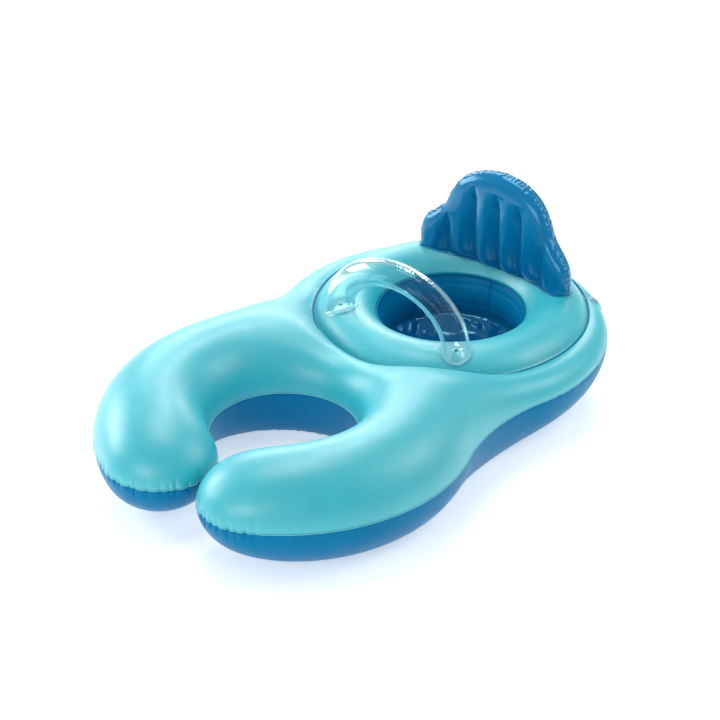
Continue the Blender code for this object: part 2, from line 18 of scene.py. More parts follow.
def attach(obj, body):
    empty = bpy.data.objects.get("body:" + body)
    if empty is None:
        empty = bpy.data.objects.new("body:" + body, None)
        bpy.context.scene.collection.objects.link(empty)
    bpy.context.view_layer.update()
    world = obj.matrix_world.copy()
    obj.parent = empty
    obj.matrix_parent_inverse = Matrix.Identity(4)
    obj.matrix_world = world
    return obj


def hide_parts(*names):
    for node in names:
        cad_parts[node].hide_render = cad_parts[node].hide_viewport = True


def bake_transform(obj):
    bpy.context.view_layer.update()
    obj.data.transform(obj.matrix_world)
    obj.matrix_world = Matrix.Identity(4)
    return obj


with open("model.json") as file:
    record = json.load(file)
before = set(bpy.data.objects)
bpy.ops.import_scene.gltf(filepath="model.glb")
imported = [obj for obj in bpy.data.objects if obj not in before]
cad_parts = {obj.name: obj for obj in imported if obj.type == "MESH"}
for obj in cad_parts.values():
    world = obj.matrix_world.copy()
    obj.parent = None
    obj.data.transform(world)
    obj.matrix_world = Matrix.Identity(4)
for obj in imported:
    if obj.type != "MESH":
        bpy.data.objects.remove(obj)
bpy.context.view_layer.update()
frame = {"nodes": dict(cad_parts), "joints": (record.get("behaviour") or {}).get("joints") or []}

# ---- design sizes, as in the CAD (metres)
FILM = 0.0004
GAP = 0.0003
FLANGE = 0.0025
TUBE_RADIUS = 0.1035
REAR_RADIUS = 0.314
REAR_OFFSET = -0.033
BAY_OFFSET = -0.491
BAY_CENTRELINE = 0.241
ARM_END_ANGLE = math.radians(27.3)
WAIST_RADIUS = 0.38
BELLY = 1.06
CREASE_RADIUS = 0.259
CREASE_Z = 0.137
CREASE_LAP = 0.004
WELL_RADIUS = 0.1405
WELL_Z = 0.1355
RING_BULGE = 0.036
WELL_BULGE = 0.008
RIM_RADIUS = 0.132
RIM_Z = 0.060
RIM_LAP = 0.004
SLING_SAG = 0.022
LEG_HOLE_RADIUS = 0.038
LEG_HOLE_X = 0.050
LEG_HOLE_Y = -0.052
HEM_WIDTH = 0.006
BACKREST_Y = 0.163
BACKREST_WRAP = 0.027
BACKREST_HALF_WIDTH = 0.172
BACKREST_BASE_Z = 0.170
BACKREST_SIDE = ((0.172, 0.170), (0.174, 0.197), (0.167, 0.225), (0.150, 0.243), (0.127, 0.264),
                 (0.112, 0.298), (0.088, 0.330), (0.047, 0.352), (0.0, 0.360))
BACKREST_HALF_THICKNESS = 0.029
BACKREST_BASE_HALF = 0.046
HANDLE_HALF_SPAN = 0.136
HANDLE_Y = -0.161
HANDLE_RISE = 0.107
HANDLE_RADIUS = 0.0265
FOOT_RADIUS = 0.0325
TRANSFER_HOLE_RADIUS = 0.0025
VALVE_FLANGE_RADIUS = 0.0115
VALVE_FLANGE_HEIGHT = 0.0010
VALVE_HOLE_RADIUS = 0.0065
STEM_RADIUS = 0.0055
STEM_BORE = 0.0038
STEM_DEPTH = 0.0150
LIP_RADIUS = 0.0078
LIP_HEIGHT = 0.0010
PLUG_HEAD_RADIUS = 0.0062
PLUG_HEAD_HEIGHT = 0.0015
PLUG_SHANK_RADIUS = 0.0034
PLUG_SHANK_LENGTH = 0.0070
FLAP_RADIUS = 0.0046
FLAP_HEIGHT = 0.0006
TETHER_RADIUS = 0.0006
TETHER_HALF_WIDTH = 0.0011
AXIS = 0.0001                 # a turned profile ends this near its axis
HOLE_DEPTH = 0.02             # a hole is cut only in film this near it along its axis

REAR_END = REAR_OFFSET + REAR_RADIUS + FLANGE
FRONT_END = BAY_OFFSET - BAY_CENTRELINE * math.cos(ARM_END_ANGLE) - TUBE_RADIUS - FLANGE
SEAT_Y = -(REAR_END + FRONT_END) / 2
RING_HALF_CHORD = (CREASE_RADIUS - CREASE_LAP - WELL_RADIUS) / 2
RING_MIDDLE = (CREASE_RADIUS - CREASE_LAP + WELL_RADIUS) / 2
RING_ARC = (RING_HALF_CHORD ** 2 + RING_BULGE ** 2) / (2 * RING_BULGE)
RING_EDGE_Z = CREASE_Z + FILM + GAP

# ---- sizes that only the looks need
WELD_EDGE = 0.0016            # trimmed weld outside a seam, as it shows
WELD_LAP = 0.0012             # how far the trimmed weld reaches in between the sheets
WELD_ROWS = (WELD_EDGE, WELD_EDGE / 2, 0.0, -WELD_LAP)
LAID_WELD = 0.0006            # thickness of a weld lying on a sheet
SEAM_WELD = 0.0008            # thickness of a weld standing out of a seam
SEAM_FLARE_REACH = 0.012      # a puckered seam flares out again within this
SOLVED_TURNS = np.radians([0, 8.25, 16.5, 24.75, 33])    # rows beside a seam that are solved
SHOWN_TURNS = np.radians(np.linspace(0, 33, 28))         # rows beside a seam that are shown
SEAM_PINCH_WIDTH = 0.0055
TIP_PUCKER = 0.0066           # depth, spacing and reach of the puckers round the arm ends
TIP_PUCKER_SPACING = 0.018
TIP_PUCKER_REACH = 0.030
REAR_PUCKER = 0.0022
REAR_PUCKER_SPACING = 0.013
REAR_PUCKER_REACH = 0.014
CHANNELS = ((-0.109, 0.256), (-0.053, 0.327), (0.0, 0.323), (0.053, 0.318), (0.109, 0.258))
CHANNEL_DEPTH = 0.40          # share of the cushion's thickness that a channel weld takes away
CHANNEL_PITCH = 0.055
CUSHION_STEP = 0.0016         # pitch of the points along the cushion's crown
# depth, spacing and reach of the cushion's puckers, each with what it gains at the crown
CUSHION_PUCKERS = ((0.0030, 0.0002), (0.0155, -0.008), (0.026, -0.013))
CUSHION_PINCH_WIDTH = 0.0042
CUSHION_FLARE_REACH = 0.008
HANDLE_SEAM = 0.0018          # trimmed weld along the handle
HANDLE_WRINKLES = ((0.33, 0.16, 1.0), (0.75, 0.15, 0.5))  # place, half width and strength
HANDLE_FLARE = 0.03           # the handle widens by this share at its feet
CREASE_WELD = 0.0007          # thickness of the weld that shows in the crease
GRID_CLEARANCE = 0.55         # an even grid keeps this share of its spacing away from an edge
SOLVER_STEPS = 6000
SOLVER_TOLERANCE = 1e-16
FLOOR_EASE = 0.0012           # rounds the edge of the patch where the float lies on the floor
SLING_SLACK = 0.140           # share by which the cloth run lets the seat film grow
SLING_STIFFNESS = 1.0
SLING_FRAMES = 45
SLING_REACH = 0.020           # the seat film moves no further than this from its plain bowl
SLING_FLOOR = 0.014           # and hangs no lower than this
SLING_EDGE_POINTS = 160
LEG_HOLE_POINTS = 72
BUTT_WELD_ANGLE = math.radians(93.5)
BUTT_WELD_DEPTH = 0.0034
BUTT_WELD_HALF = 0.0022
WELL_SLACK = 0.0006
WELL_FOLDS = ((0.0013, 0.30, 0.035), (0.0009, 0.80, 0.04))   # depth, height and half width
WELL_STEPS = 720              # points round the seat well
CREASE_STEPS = 480
BLUE_GLINT = (0.30, 0.80, 1.0)  # the deep blue film mirrors its own colour
CAMERA_LENS = 215.26          # the view is fitted to the photo's outline
CAMERA_ANGLES = math.radians(38.743), math.radians(30.424)    # azimuth and elevation
CAMERA_TARGET = (-0.0573, SEAT_Y - 0.2013, 0.1)
CAMERA_DISTANCE = 8.0

MATERIALS = {}


# ---- materials
def set_inputs(tree, node, inputs):
    """Sets a node's inputs, each to a value or to another node's output."""
    for key, value in inputs.items():
        if isinstance(value, bpy.types.NodeSocket):
            tree.links.new(value, node.inputs[key])
        else:
            node.inputs[key].default_value = value


def add_node(tree, kind, inputs, **settings):
    made = tree.nodes.new(kind)
    for key, value in settings.items():
        setattr(made, key, value)
    set_inputs(tree, made, inputs)
    return made


def noise(tree, scale, detail=3.0, roughness=0.5):
    """Noise on the piece's own coordinates, which move with it."""
    where = add_node(tree, "ShaderNodeTexCoord", {}).outputs["Object"]
    return add_node(tree, "ShaderNodeTexNoise", {
        "Vector": where, "Scale": scale, "Detail": detail, "Roughness": roughness}).outputs["Fac"]


def spread(tree, fac, low, high):
    """Maps a noise value to a range."""
    return add_node(tree, "ShaderNodeMapRange", {
        "Value": fac, "From Min": 0.3, "From Max": 0.7, "To Min": low,
        "To Max": high}).outputs["Result"]


def between(tree, fac, one, two):
    """Clouds one colour with another."""
    made = add_node(tree, "ShaderNodeMix", {
        "Factor": spread(tree, fac, 0.0, 1.0), "A": (*one, 1.0), "B": (*two, 1.0)},
        data_type="RGBA")
    return made.outputs["Result"]


def bump(tree, fac, strength, distance, **under):
    return add_node(tree, "ShaderNodeBump", {
        "Height": fac, "Strength": strength, "Distance": distance, **under}).outputs["Normal"]


def start_material(name):
    made = bpy.data.materials.new(name)
    made.use_nodes = True
    return made, made.node_tree, made.node_tree.nodes["Principled BSDF"]


def vinyl(name, light, dark, roughness, gloss, coat, coat_roughness, crinkle=0.0,
          glint=(1.0, 1.0, 1.0)):
    """Welded PVC film: slightly cloudy colour, fine calendered grain and uneven gloss."""
    made, tree, shader = start_material(name)
    normal = bump(tree, noise(tree, 900.0, 2.0), 0.10, 0.00012)
    if crinkle:
        normal = bump(tree, noise(tree, 60.0, 4.0, 0.6), crinkle, 0.002, Normal=normal)
    set_inputs(tree, shader, {
        "Base Color": between(tree, noise(tree, 9.0, 4.0), light, dark),
        "Roughness": spread(tree, noise(tree, 38.0), roughness * 0.88, roughness * 1.14),
        "Normal": normal, "Specular IOR Level": gloss, "Specular Tint": (*glint, 1.0),
        "Coat Weight": coat, "Coat Roughness": coat_roughness})
    return made


def clear_vinyl(name, tint, body, haze, roughness, mirror=0.0, slant_gain=1.0, ior=1.5):
    """Clear film: it lets most light straight through and mirrors more at a slant."""
    made, tree, shader = start_material(name)
    cloud = noise(tree, 30.0)
    normal = bump(tree, noise(tree, 120.0), 0.08, 0.0008)
    set_inputs(tree, shader, {
        "Base Color": between(tree, cloud, body, tuple(0.94 * c for c in body)),
        "Roughness": spread(tree, cloud, roughness * 0.7, roughness * 1.5),
        "Normal": normal, "Specular IOR Level": 0.8, "Metallic": mirror})
    see = add_node(tree, "ShaderNodeBsdfTransparent", {"Color": (*tint, 1.0)})
    slant = add_node(tree, "ShaderNodeFresnel", {"IOR": ior, "Normal": normal})
    amount = add_node(tree, "ShaderNodeMath", {0: slant.outputs["Fac"], 1: slant_gain, 2: haze},
                      operation="MULTIPLY_ADD", use_clamp=True)
    mix = add_node(tree, "ShaderNodeMixShader", {
        "Fac": amount.outputs["Value"], 1: see.outputs["BSDF"], 2: shader.outputs["BSDF"]})
    set_inputs(tree, tree.nodes["Material Output"], {"Surface": mix.outputs["Shader"]})
    return made


LOOKS = {
    # light, dark, roughness, gloss, coat, roughness of the coat, crinkle, glint
    "turquoise_film": (vinyl, (0.010, 0.470, 0.545), (0.008, 0.425, 0.510), 0.48, 0.9, 0.65, 0.38),
    "ocean_blue_film": (vinyl, (0.0003, 0.176, 0.365), (0.0002, 0.160, 0.340), 0.36, 0.15, 0.0, 0.2,
                        0.0, BLUE_GLINT),
    "cushion_blue_film": (vinyl, (0.0003, 0.160, 0.365), (0.0002, 0.145, 0.335), 0.20, 0.7, 0.15,
                          0.08, 0.0, BLUE_GLINT),
    "sling_blue_film": (vinyl, (0.0003, 0.130, 0.330), (0.0002, 0.112, 0.300), 0.14, 0.9, 0.12,
                        0.07, 0.1, BLUE_GLINT),
    # paler than the cushion: partly the weld's own colour, partly painted highlight along the
    # cushion's edge
    "cushion_weld_painted_highlight_film": (vinyl, (0.060, 0.330, 0.540), (0.030, 0.240, 0.450), 0.12, 0.8, 1.0,
                          0.05, 0.4),
    # paler than the turquoise: partly the laid films' own colour, partly painted highlight along the
    # seam's edge
    "weld_edge_painted_highlight_film": (vinyl, (0.24, 0.72, 0.80), (0.20, 0.66, 0.75), 0.25, 0.5, 0.3, 0.1),
    # tint, body, haze, roughness, mirror, slant gain, ior
    "clear_film": (clear_vinyl, (0.965, 0.99, 0.99), (0.66, 0.93, 1.0), 0.0, 0.035, 0.8, 0.75, 1.32),
    "clear_weld_film": (clear_vinyl, (0.93, 0.98, 0.985), (0.60, 0.93, 0.98), 0.0, 0.08, 0.3, 0.6),
    "valve_film": (clear_vinyl, (0.85, 0.95, 0.97), (0.60, 0.85, 0.90), 0.38, 0.14),
}


def look(name):
    """The named material, made when it is first asked for."""
    if name not in MATERIALS:
        maker, *values = LOOKS[name]
        MATERIALS[name] = maker(name, *values)
    return MATERIALS[name]


# ---- adding pieces
def mesh_from(name, points, faces):
    mesh = bpy.data.meshes.new(name)
    mesh.from_pydata([tuple(map(float, p)) for p in points], [], [tuple(map(int, f)) for f in faces])
    mesh.update()
    return mesh


def add_piece(name, points, faces, film_name, film=FILM, levels=0):
    """Adds points worked out about the seat axis as one named mesh, with the film's thickness."""
    mesh = mesh_from(name, np.array(points, float) + (0, SEAT_Y, 0), faces)
    mesh.materials.append(look(film_name))
    mesh.shade_smooth()
    thing = add_object(name, mesh)
    if film:
        thicken(thing, film, 1.0)
    if levels:
        subdivide(thing, levels)
    return thing


def add_object(name, data):
    thing = bpy.data.objects.new(name, data)
    bpy.context.scene.collection.objects.link(thing)
    return thing


def thicken(thing, film, offset):
    solid = thing.modifiers.new("film", "SOLIDIFY")
    solid.thickness = film
    solid.offset = offset


def subdivide(thing, levels):
    smooth = thing.modifiers.new("smooth", "SUBSURF")
    smooth.levels = smooth.render_levels = levels


def add_rows(name, rows, film_name, closed=True, looped=False, flip=False, **options):
    """Adds rows of points, equally long, as one strip."""
    faces = strip_faces(len(rows), len(rows[0]), closed, looped, flip)
    return add_piece(name, np.concatenate(rows), faces, film_name, **options)


def settle_modifiers(thing):
    """Replaces a piece's mesh by what its modifiers make of it."""
    bpy.context.view_layer.update()
    seen = thing.evaluated_get(bpy.context.evaluated_depsgraph_get())
    made = bpy.data.meshes.new_from_object(seen)
    thing.modifiers.clear()
    thing.data = made


def place_on(thing, body, slot, *replaced):
    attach(thing, body)
    if replaced:
        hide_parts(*replaced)


def open_mesh(points, faces):
    mesh = mesh_from("sheet_in_work", points, faces)
    work = bmesh.new()
    work.from_mesh(mesh)
    bpy.data.meshes.remove(mesh)
    return work


def close_mesh(work):
    work.verts.index_update()
    points = np.array([tuple(v.co) for v in work.verts])
    faces = [tuple(v.index for v in f.verts) for f in work.faces]
    work.free()
    return points, faces


# ---- outlines
def arc(centre_x, centre_y, radius, start, end, step):
    count = max(3, round(abs(end - start) * radius / step))
    angles = np.linspace(start, end, count + 1)
    return np.stack([centre_x + radius * np.cos(angles), centre_y + radius * np.sin(angles)], 1)


def circle(radius, count, centre=(0, 0)):
    angles = np.arange(count) * 2 * math.pi / count
    return np.stack([centre[0] + radius * np.cos(angles), centre[1] + radius * np.sin(angles)], 1)


def at_level(plan, height):
    return np.column_stack([plan, np.full(len(plan), height)])


def unit_rows(vectors):
    return vectors / np.linalg.norm(vectors, axis=-1, keepdims=True)


def float_outline():
    """The outer weld seam, anticlockwise, and how strongly each point puckers: rear and tip."""
    outer, inner = BAY_CENTRELINE + TUBE_RADIUS, BAY_CENTRELINE - TUBE_RADIUS
    from_rear, from_bay = REAR_RADIUS + WAIST_RADIUS, outer + WAIST_RADIUS
    span = REAR_OFFSET - BAY_OFFSET
    along = (from_bay ** 2 - from_rear ** 2 + span ** 2) / (2 * span)
    waist_x, waist_y = math.sqrt(from_bay ** 2 - along ** 2), BAY_OFFSET + along
    to_rear = math.atan2(REAR_OFFSET - waist_y, -waist_x) % (2 * math.pi)
    to_bay = math.atan2(BAY_OFFSET - waist_y, -waist_x) % (2 * math.pi)
    rear_end = math.atan2(waist_y - REAR_OFFSET, waist_x)
    outer_start = math.atan2(waist_y - BAY_OFFSET, waist_x)
    end = -math.pi / 2 + ARM_END_ANGLE
    fine_start, fine_end = end + 0.30, end + 0.35
    tip_x = BAY_CENTRELINE * math.cos(end)
    tip_y = BAY_OFFSET + BAY_CENTRELINE * math.sin(end)
    whole, none = (1, 1), (0, 0)
    stretches = [
        (arc(0, REAR_OFFSET, REAR_RADIUS, math.pi / 2, rear_end, 0.0030), whole, none),
        (arc(waist_x, waist_y, WAIST_RADIUS, to_rear, to_bay, 0.0060), (1, 0), none),
        (arc(0, BAY_OFFSET, outer, outer_start, fine_start, 0.0060), none, none),
        (arc(0, BAY_OFFSET, outer, fine_start, end, 0.0024), none, (-0.9, 1)),
        (arc(tip_x, tip_y, TUBE_RADIUS, end, end - math.pi, 0.0021), none, (1, 0.6)),
        (arc(0, BAY_OFFSET, inner, end, fine_end, 0.0024), none, (0.6, -0.4)),
        (arc(0, BAY_OFFSET, inner, fine_end, math.pi / 2, 0.0050), none, none),
    ]
    kept = [], [], []
    for index, (points, *strengths) in enumerate(stretches):
        values = [points] + [np.maximum(np.linspace(*ends, len(points)), 0) for ends in strengths]
        for pile, value in zip(kept, values):
            pile.append(value[min(index, 1):])
    right, rear, tip = (np.concatenate(pile) for pile in kept)
    return [np.concatenate([half, half[-2:0:-1] * mirror])[::-1]
            for half, mirror in ((right, (-1, 1)), (rear, 1), (tip, 1))]


def offset_loop(loop, depth):
    """Moves a closed anticlockwise loop inwards by depth, or outwards if it is negative."""
    ahead = unit_rows(np.roll(loop, -1, 0) - loop)
    inward = np.stack([-ahead[:, 1], ahead[:, 0]], 1)
    both = inward + np.roll(inward, 1, 0)
    return loop + both * (2 * depth / (both ** 2).sum(1))[:, None]


def smooth_curve(points, step):
    """Points a step apart on a Catmull-Rom curve through the given ones."""
    given = np.array(points)
    padded = np.concatenate([2 * given[:1] - given[1:2], given, 2 * given[-1:] - given[-2:-1]])
    out = []
    for p0, p1, p2, p3 in zip(padded, padded[1:], padded[2:], padded[3:]):
        count = max(1, round(np.linalg.norm(p2 - p1) / step))
        for t in np.arange(count) / count:
            out.append(0.5 * (2 * p1 + (p2 - p0) * t + (2 * p0 - 5 * p1 + 4 * p2 - p3) * t ** 2
                              + (3 * p1 - p0 - 3 * p2 + p3) * t ** 3))
    out.append(given[-1])
    return np.array(out)


def arc_length(loop):
    steps = np.linalg.norm(np.roll(loop, -1, 0) - loop, axis=1)
    return np.concatenate([[0], np.cumsum(steps)[:-1]]), steps.sum()


# ---- planar meshes
def is_inside(points, loop):
    x, y = points[:, 0][:, None], points[:, 1][:, None]
    x0, y0 = loop[:, 0], loop[:, 1]
    x1, y1 = np.roll(x0, -1), np.roll(y0, -1)
    rise = np.where(y1 == y0, 1e-12, y1 - y0)
    crosses = ((y0 > y) != (y1 > y)) & (x < (x1 - x0) * (y - y0) / rise + x0)
    return crosses.sum(1) % 2 == 1


def distance_to(points, loop):
    start, step = loop, np.roll(loop, -1, 0) - loop
    away = points[:, None] - start[None]
    share = np.clip((away * step).sum(2) / (step ** 2).sum(1), 0, 1)
    return np.linalg.norm(away - share[..., None] * step, axis=2).min(1)


def in_batches(work, points, loop, size=1500):
    return np.concatenate([work(points[i:i + size], loop) for i in range(0, len(points), size)])


def in_region(points, outer, holes, clearance=0.0):
    """Which points lie inside the outer loop and outside the holes, and clear of them all."""
    keep = in_batches(is_inside, points, outer)
    for hole in holes:
        keep &= ~in_batches(is_inside, points, hole)
    if clearance:
        for loop in [outer] + list(holes):
            keep &= in_batches(distance_to, points, loop) > clearance
    return keep


def planar_mesh(outer, holes, spacing):
    """Triangulates a region with holes on an even grid. The loops' points come first, in order."""
    loops = [outer] + list(holes)
    low, high = outer.min(0), outer.max(0)
    tall = spacing * math.sqrt(3) / 2
    row_count = int((high[1] - low[1]) / tall) + 2
    half = int(max(-low[0], high[0]) / spacing) + 2
    grid = np.array([((i + 0.5 * (j % 2)) * spacing, low[1] + j * tall)
                     for j in range(row_count) for i in range(-half, half)])
    keep = in_region(grid, outer, holes, GRID_CLEARANCE * spacing)
    points = np.concatenate(loops + [grid[keep]])
    edges, first = [], 0
    for loop in loops:
        count = len(loop)
        edges += [(first + i, first + (i + 1) % count) for i in range(count)]
        first += count
    found = geometry.delaunay_2d_cdt([Vector(p) for p in points], edges, [], 0, 1e-8)
    made = np.array([tuple(v) for v in found[0]])
    faces = np.array(found[2])
    order = np.array([first_of[0] for first_of in found[3]])
    faces = order[faces[in_region(made[faces].mean(1), outer, holes)]]
    one, two, three = points[faces[:, 0]], points[faces[:, 1]], points[faces[:, 2]]
    area = np.cross(two - one, three - one)
    faces[area < 0] = faces[area < 0][:, ::-1]
    return points, faces[np.abs(area) > 1e-14]


def strip_faces(rows, columns, closed=True, looped=False, flip=False):
    """Quads between rows of points numbered row by row, facing up if each row is further in.

    closed joins the ends of each row, looped joins the last row to the first, flip turns the
    quads over.
    """
    row, column = np.meshgrid(np.arange(rows if looped else rows - 1),
                              np.arange(columns if closed else columns - 1), indexing="ij")
    here, there = row * columns, (row + 1) % rows * columns
    beside = (column + 1) % columns
    quads = np.stack([here + column, here + beside, there + beside, there + column], -1)
    return [tuple(q)[::-1] if flip else tuple(q) for q in quads.reshape(-1, 4)]


# ---- swelling a sheet
def swell(flat, faces, fixed, limit=None):
    """Height of a sheet blown up over a region: a strip of it gets an exact half-round section.

    Half the squared height has a Laplacian of -1. Linear triangles, solved by conjugate gradients.
    limit is the height at which a wide sheet levels off.
    """
    count = len(flat)
    corner = flat[faces]
    edge = np.roll(corner, -2, 1) - np.roll(corner, -1, 1)
    area = np.abs(np.cross(corner[:, 1] - corner[:, 0], corner[:, 2] - corner[:, 0])) / 2
    local = np.einsum("tik,tjk->tij", edge, edge) / (4 * area)[:, None, None]
    if limit:
        local += np.eye(3) * (2 / limit ** 2 * area / 3)[:, None, None]
    load = np.bincount(faces.ravel(), np.repeat(area / 3, 3), count)
    key = (faces[:, :, None] * count + faces[:, None, :]).ravel()
    key, place = np.unique(key, return_inverse=True)
    value = np.bincount(place.ravel(), local.ravel())
    row, column = key // count, key % count
    begin = np.searchsorted(row, np.arange(count))

    def apply(x):
        return np.add.reduceat(value * x[column], begin)

    known = ~np.isnan(fixed)
    solved = np.where(known, fixed, 0) ** 2 / 2
    free = (~known).astype(float)
    diagonal = np.zeros(count)
    diagonal[row[row == column]] = value[row == column]
    left = free * (load - apply(solved))
    scaled = left / diagonal
    heading = scaled.copy()
    size = left @ scaled
    target = size * SOLVER_TOLERANCE
    for _ in range(SOLVER_STEPS):
        pushed = free * apply(heading)
        share = size / (heading @ pushed)
        solved += share * heading
        left -= share * pushed
        scaled = left / diagonal
        fresh = left @ scaled
        if fresh < target:
            break
        heading = scaled + fresh / size * heading
        size = fresh
    return np.sqrt(2 * np.maximum(solved, 0))


def swelled_sheet(outline, radius, hole, spacing, edge_heights, hole_height, limit=None, ease=1.0):
    """A blown-up sheet with close rows beside its outer seam.

    Returns the plan points, heights and faces: first the seam's rows, outermost first, then the
    rest, and last the points of the hole's edge, if there is one. ease narrows the rows where the
    outline has a corner.
    """
    columns = len(outline)
    inward = (offset_loop(outline, 1.0) - outline) * ease
    solved_depths = radius * (1 - np.cos(SOLVED_TURNS))
    rows = [outline + inward * depth for depth in solved_depths]
    holes = [] if hole is None else [hole]
    inner, inner_faces = planar_mesh(rows[-1], holes, spacing)
    before = (len(rows) - 1) * columns
    flat = np.concatenate(rows[:-1] + [inner])
    quads = np.array(strip_faces(len(rows), columns))
    band = np.concatenate([quads[:, (0, 1, 2)], quads[:, (0, 2, 3)]])
    faces = np.concatenate([band, inner_faces + before])
    fixed = np.full(len(flat), np.nan)
    fixed[:columns] = edge_heights
    at_hole = np.arange(0)
    if hole is not None:
        at_hole = before + columns + np.arange(len(hole))
        fixed[at_hole] = hole_height
    height = swell(flat, faces, fixed, limit)

    half_square = height ** 2 / 2
    band_values = half_square[:len(rows) * columns].reshape(len(rows), columns)
    shown_depths = radius * (1 - np.cos(SHOWN_TURNS))
    weights = np.ones((len(shown_depths), len(rows)))
    for i, own in enumerate(solved_depths):
        for j, other in enumerate(solved_depths):
            if i != j:
                weights[:, i] *= (shown_depths - other) / (own - other)
    shown_values = np.maximum(weights @ band_values, 0)
    shown_rows = [outline + inward * depth for depth in shown_depths]
    extra = (len(shown_rows) - len(rows)) * columns
    plan = np.concatenate(shown_rows[:-1] + [inner])
    heights = np.concatenate([np.sqrt(2 * shown_values[:-1]).ravel(), height[before:]])
    made = strip_faces(len(shown_rows), columns)
    made += [tuple(f) for f in inner_faces + before + extra]
    return plan, heights, made, at_hole + extra


def vertex_normals(points, faces):
    total = np.zeros_like(points)
    for size in (3, 4):
        group = np.array([f for f in faces if len(f) == size])
        if len(group):
            normal = np.cross(points[group[:, 2]] - points[group[:, 0]],
                              points[group[:, -1]] - points[group[:, 1]])
            for corner in range(size):
                np.add.at(total, group[:, corner], normal)
    return total / np.maximum(np.linalg.norm(total, axis=1), 1e-12)[:, None]


# ---- puckers along a seam
def place_puckers(seed, places, total, depth, spacing, reach):
    """Where a seam is pinched: (place along it, depth, reach up the sheet) for each pucker.

    depth, spacing and reach are arrays over the seam's points.
    """
    random = np.random.default_rng(seed)
    pinches, at = [], 0.3 * spacing[0]
    while at < total - 0.3 * spacing[0]:
        own_depth, own_spacing, own_reach = (np.interp(at, places, a) for a in (depth, spacing, reach))
        if own_depth > 1e-5:
            pinches.append((at, own_depth * random.uniform(0.55, 1.15),
                            own_reach * random.uniform(0.5, 1.15)))
        at += own_spacing * random.uniform(0.6, 1.4)
    return pinches


def pucker(places, total, ups, pinches, width):
    """How far each point of a seam's rows is drawn in: sharp at a pinch, rounded between."""
    drawn = np.zeros((len(ups), len(places)))
    for at, depth, reach in pinches:
        away = np.abs((places - at + total / 2) % total - total / 2)
        near = np.flatnonzero(away < 5 * width)
        fade = np.clip(1 - ups / reach, 0, 1)[:, None]
        spread_here = width * (0.42 + 0.58 * fade ** 2)
        shape = np.exp(-away[near][None] / spread_here)
        drawn[:, near] += depth * fade ** 0.85 * shape
    return drawn


# ---- main float
def pinch_sheet(points, faces, columns, ups, drawn, outward):
    """Draws the seam's rows in along the sheet's normals, and the seam itself along outward."""
    normals = vertex_normals(points, faces)
    normals[:columns] = outward
    count = len(ups) * columns
    points[:count] -= normals[:count] * drawn.reshape(-1)[:, None]


def add_lap(points, faces, edge, radius, level, up):
    """Adds the lap inside a sheet's hole, by which it is welded to the next sheet."""
    lap = len(points) + np.arange(len(edge))
    points = np.concatenate([points, at_level(circle(radius, len(edge)), level)])
    for quad in zip(edge, np.roll(edge, -1), np.roll(lap, -1), lap):
        faces.append(quad if up else (quad[0],) + quad[:0:-1])
    return points, faces


def make_seam_weld(seam, outward):
    """The trimmed weld that stands out between the two sheets all round the float, in a pale film that
    is partly its own colour and partly painted highlight for the light its edge catches.
    """
    rows = [seam + outward * out for out in WELD_ROWS]
    for row in rows:
        row[:, 2] = TUBE_RADIUS - SEAM_WELD / 2
    weld = add_rows("float_seam_weld", rows, "weld_edge_painted_highlight_film", film=SEAM_WELD)
    place_on(weld, "float", "turquoise_vinyl")


def make_float_sheets():
    outline, rear, tip = float_outline()
    columns = len(outline)
    places, total = arc_length(outline)
    depth = REAR_PUCKER * rear + TIP_PUCKER * tip
    spacing = np.where(tip > 0, TIP_PUCKER_SPACING, REAR_PUCKER_SPACING)
    reach = np.where(tip > 0, TIP_PUCKER_REACH, REAR_PUCKER_REACH)
    pinches = place_puckers(11, places, total, depth, spacing, reach)
    outward = unit_rows(at_level(outline - offset_loop(outline, 0.001), 0))
    ups = TUBE_RADIUS * SHOWN_TURNS[:-1]
    drawn = pucker(places, total, ups, pinches, SEAM_PINCH_WIDTH)
    drawn -= 0.30 * depth[None] * np.exp(-(ups / SEAM_FLARE_REACH)[:, None])

    crease = circle(CREASE_RADIUS, CREASE_STEPS)
    seam_top = TUBE_RADIUS + GAP / 2
    plan, height, faces, at_crease = swelled_sheet(outline, TUBE_RADIUS, crease, 0.0075, 0.0,
                                                   CREASE_Z - seam_top)
    points = np.column_stack([plan, seam_top + height])
    pinch_sheet(points, faces, columns, ups, drawn, outward)
    make_seam_weld(points[:columns].copy(), outward)
    points, faces = add_lap(points, faces, at_crease, CREASE_RADIUS - CREASE_LAP, CREASE_Z, True)
    points, faces = fit_valve(points, faces, "float_valve")
    top = add_piece("float_top_film", points, faces, "turquoise_film")
    place_on(top, "float", "turquoise_vinyl", "float_top_sheet")

    seam_bottom = TUBE_RADIUS - GAP / 2
    rim_z = RIM_Z - 2 * (FILM + GAP)
    plan, height, faces, at_rim = swelled_sheet(
        outline, TUBE_RADIUS, circle(RIM_RADIUS, 240), 0.0085, 0.0, (seam_bottom - rim_z) / BELLY)
    above = seam_bottom - BELLY * height - FILM
    level = FILM + (above + np.sqrt(above ** 2 + FLOOR_EASE ** 2)) / 2
    points = np.column_stack([plan, level])
    faces = [f[::-1] for f in faces]
    pinch_sheet(points, faces, columns, ups, drawn, outward)
    points, faces = add_lap(points, faces, at_rim, RIM_RADIUS - RIM_LAP, rim_z, False)
    bottom = add_piece("float_bottom_film", points, faces, "ocean_blue_film")
    place_on(bottom, "float", "ocean_blue_vinyl", "float_bottom_sheet")
    return top


# ---- valves
def valve_frame(name):
    """A valve's origin on the sheet, about the seat axis, and its outward axis, from the frame."""
    joint = next(j for j in frame["joints"] if j["name"] == name + "_pop_out")
    axis = unit_rows(np.array(joint["axis"], float))
    corners = np.array([v.co for v in frame["nodes"][name + "_flange"].data.vertices])
    middle = corners.mean(0)
    origin = middle + axis * ((corners @ axis).min() - middle @ axis)
    return origin - (0, SEAT_Y, 0), axis


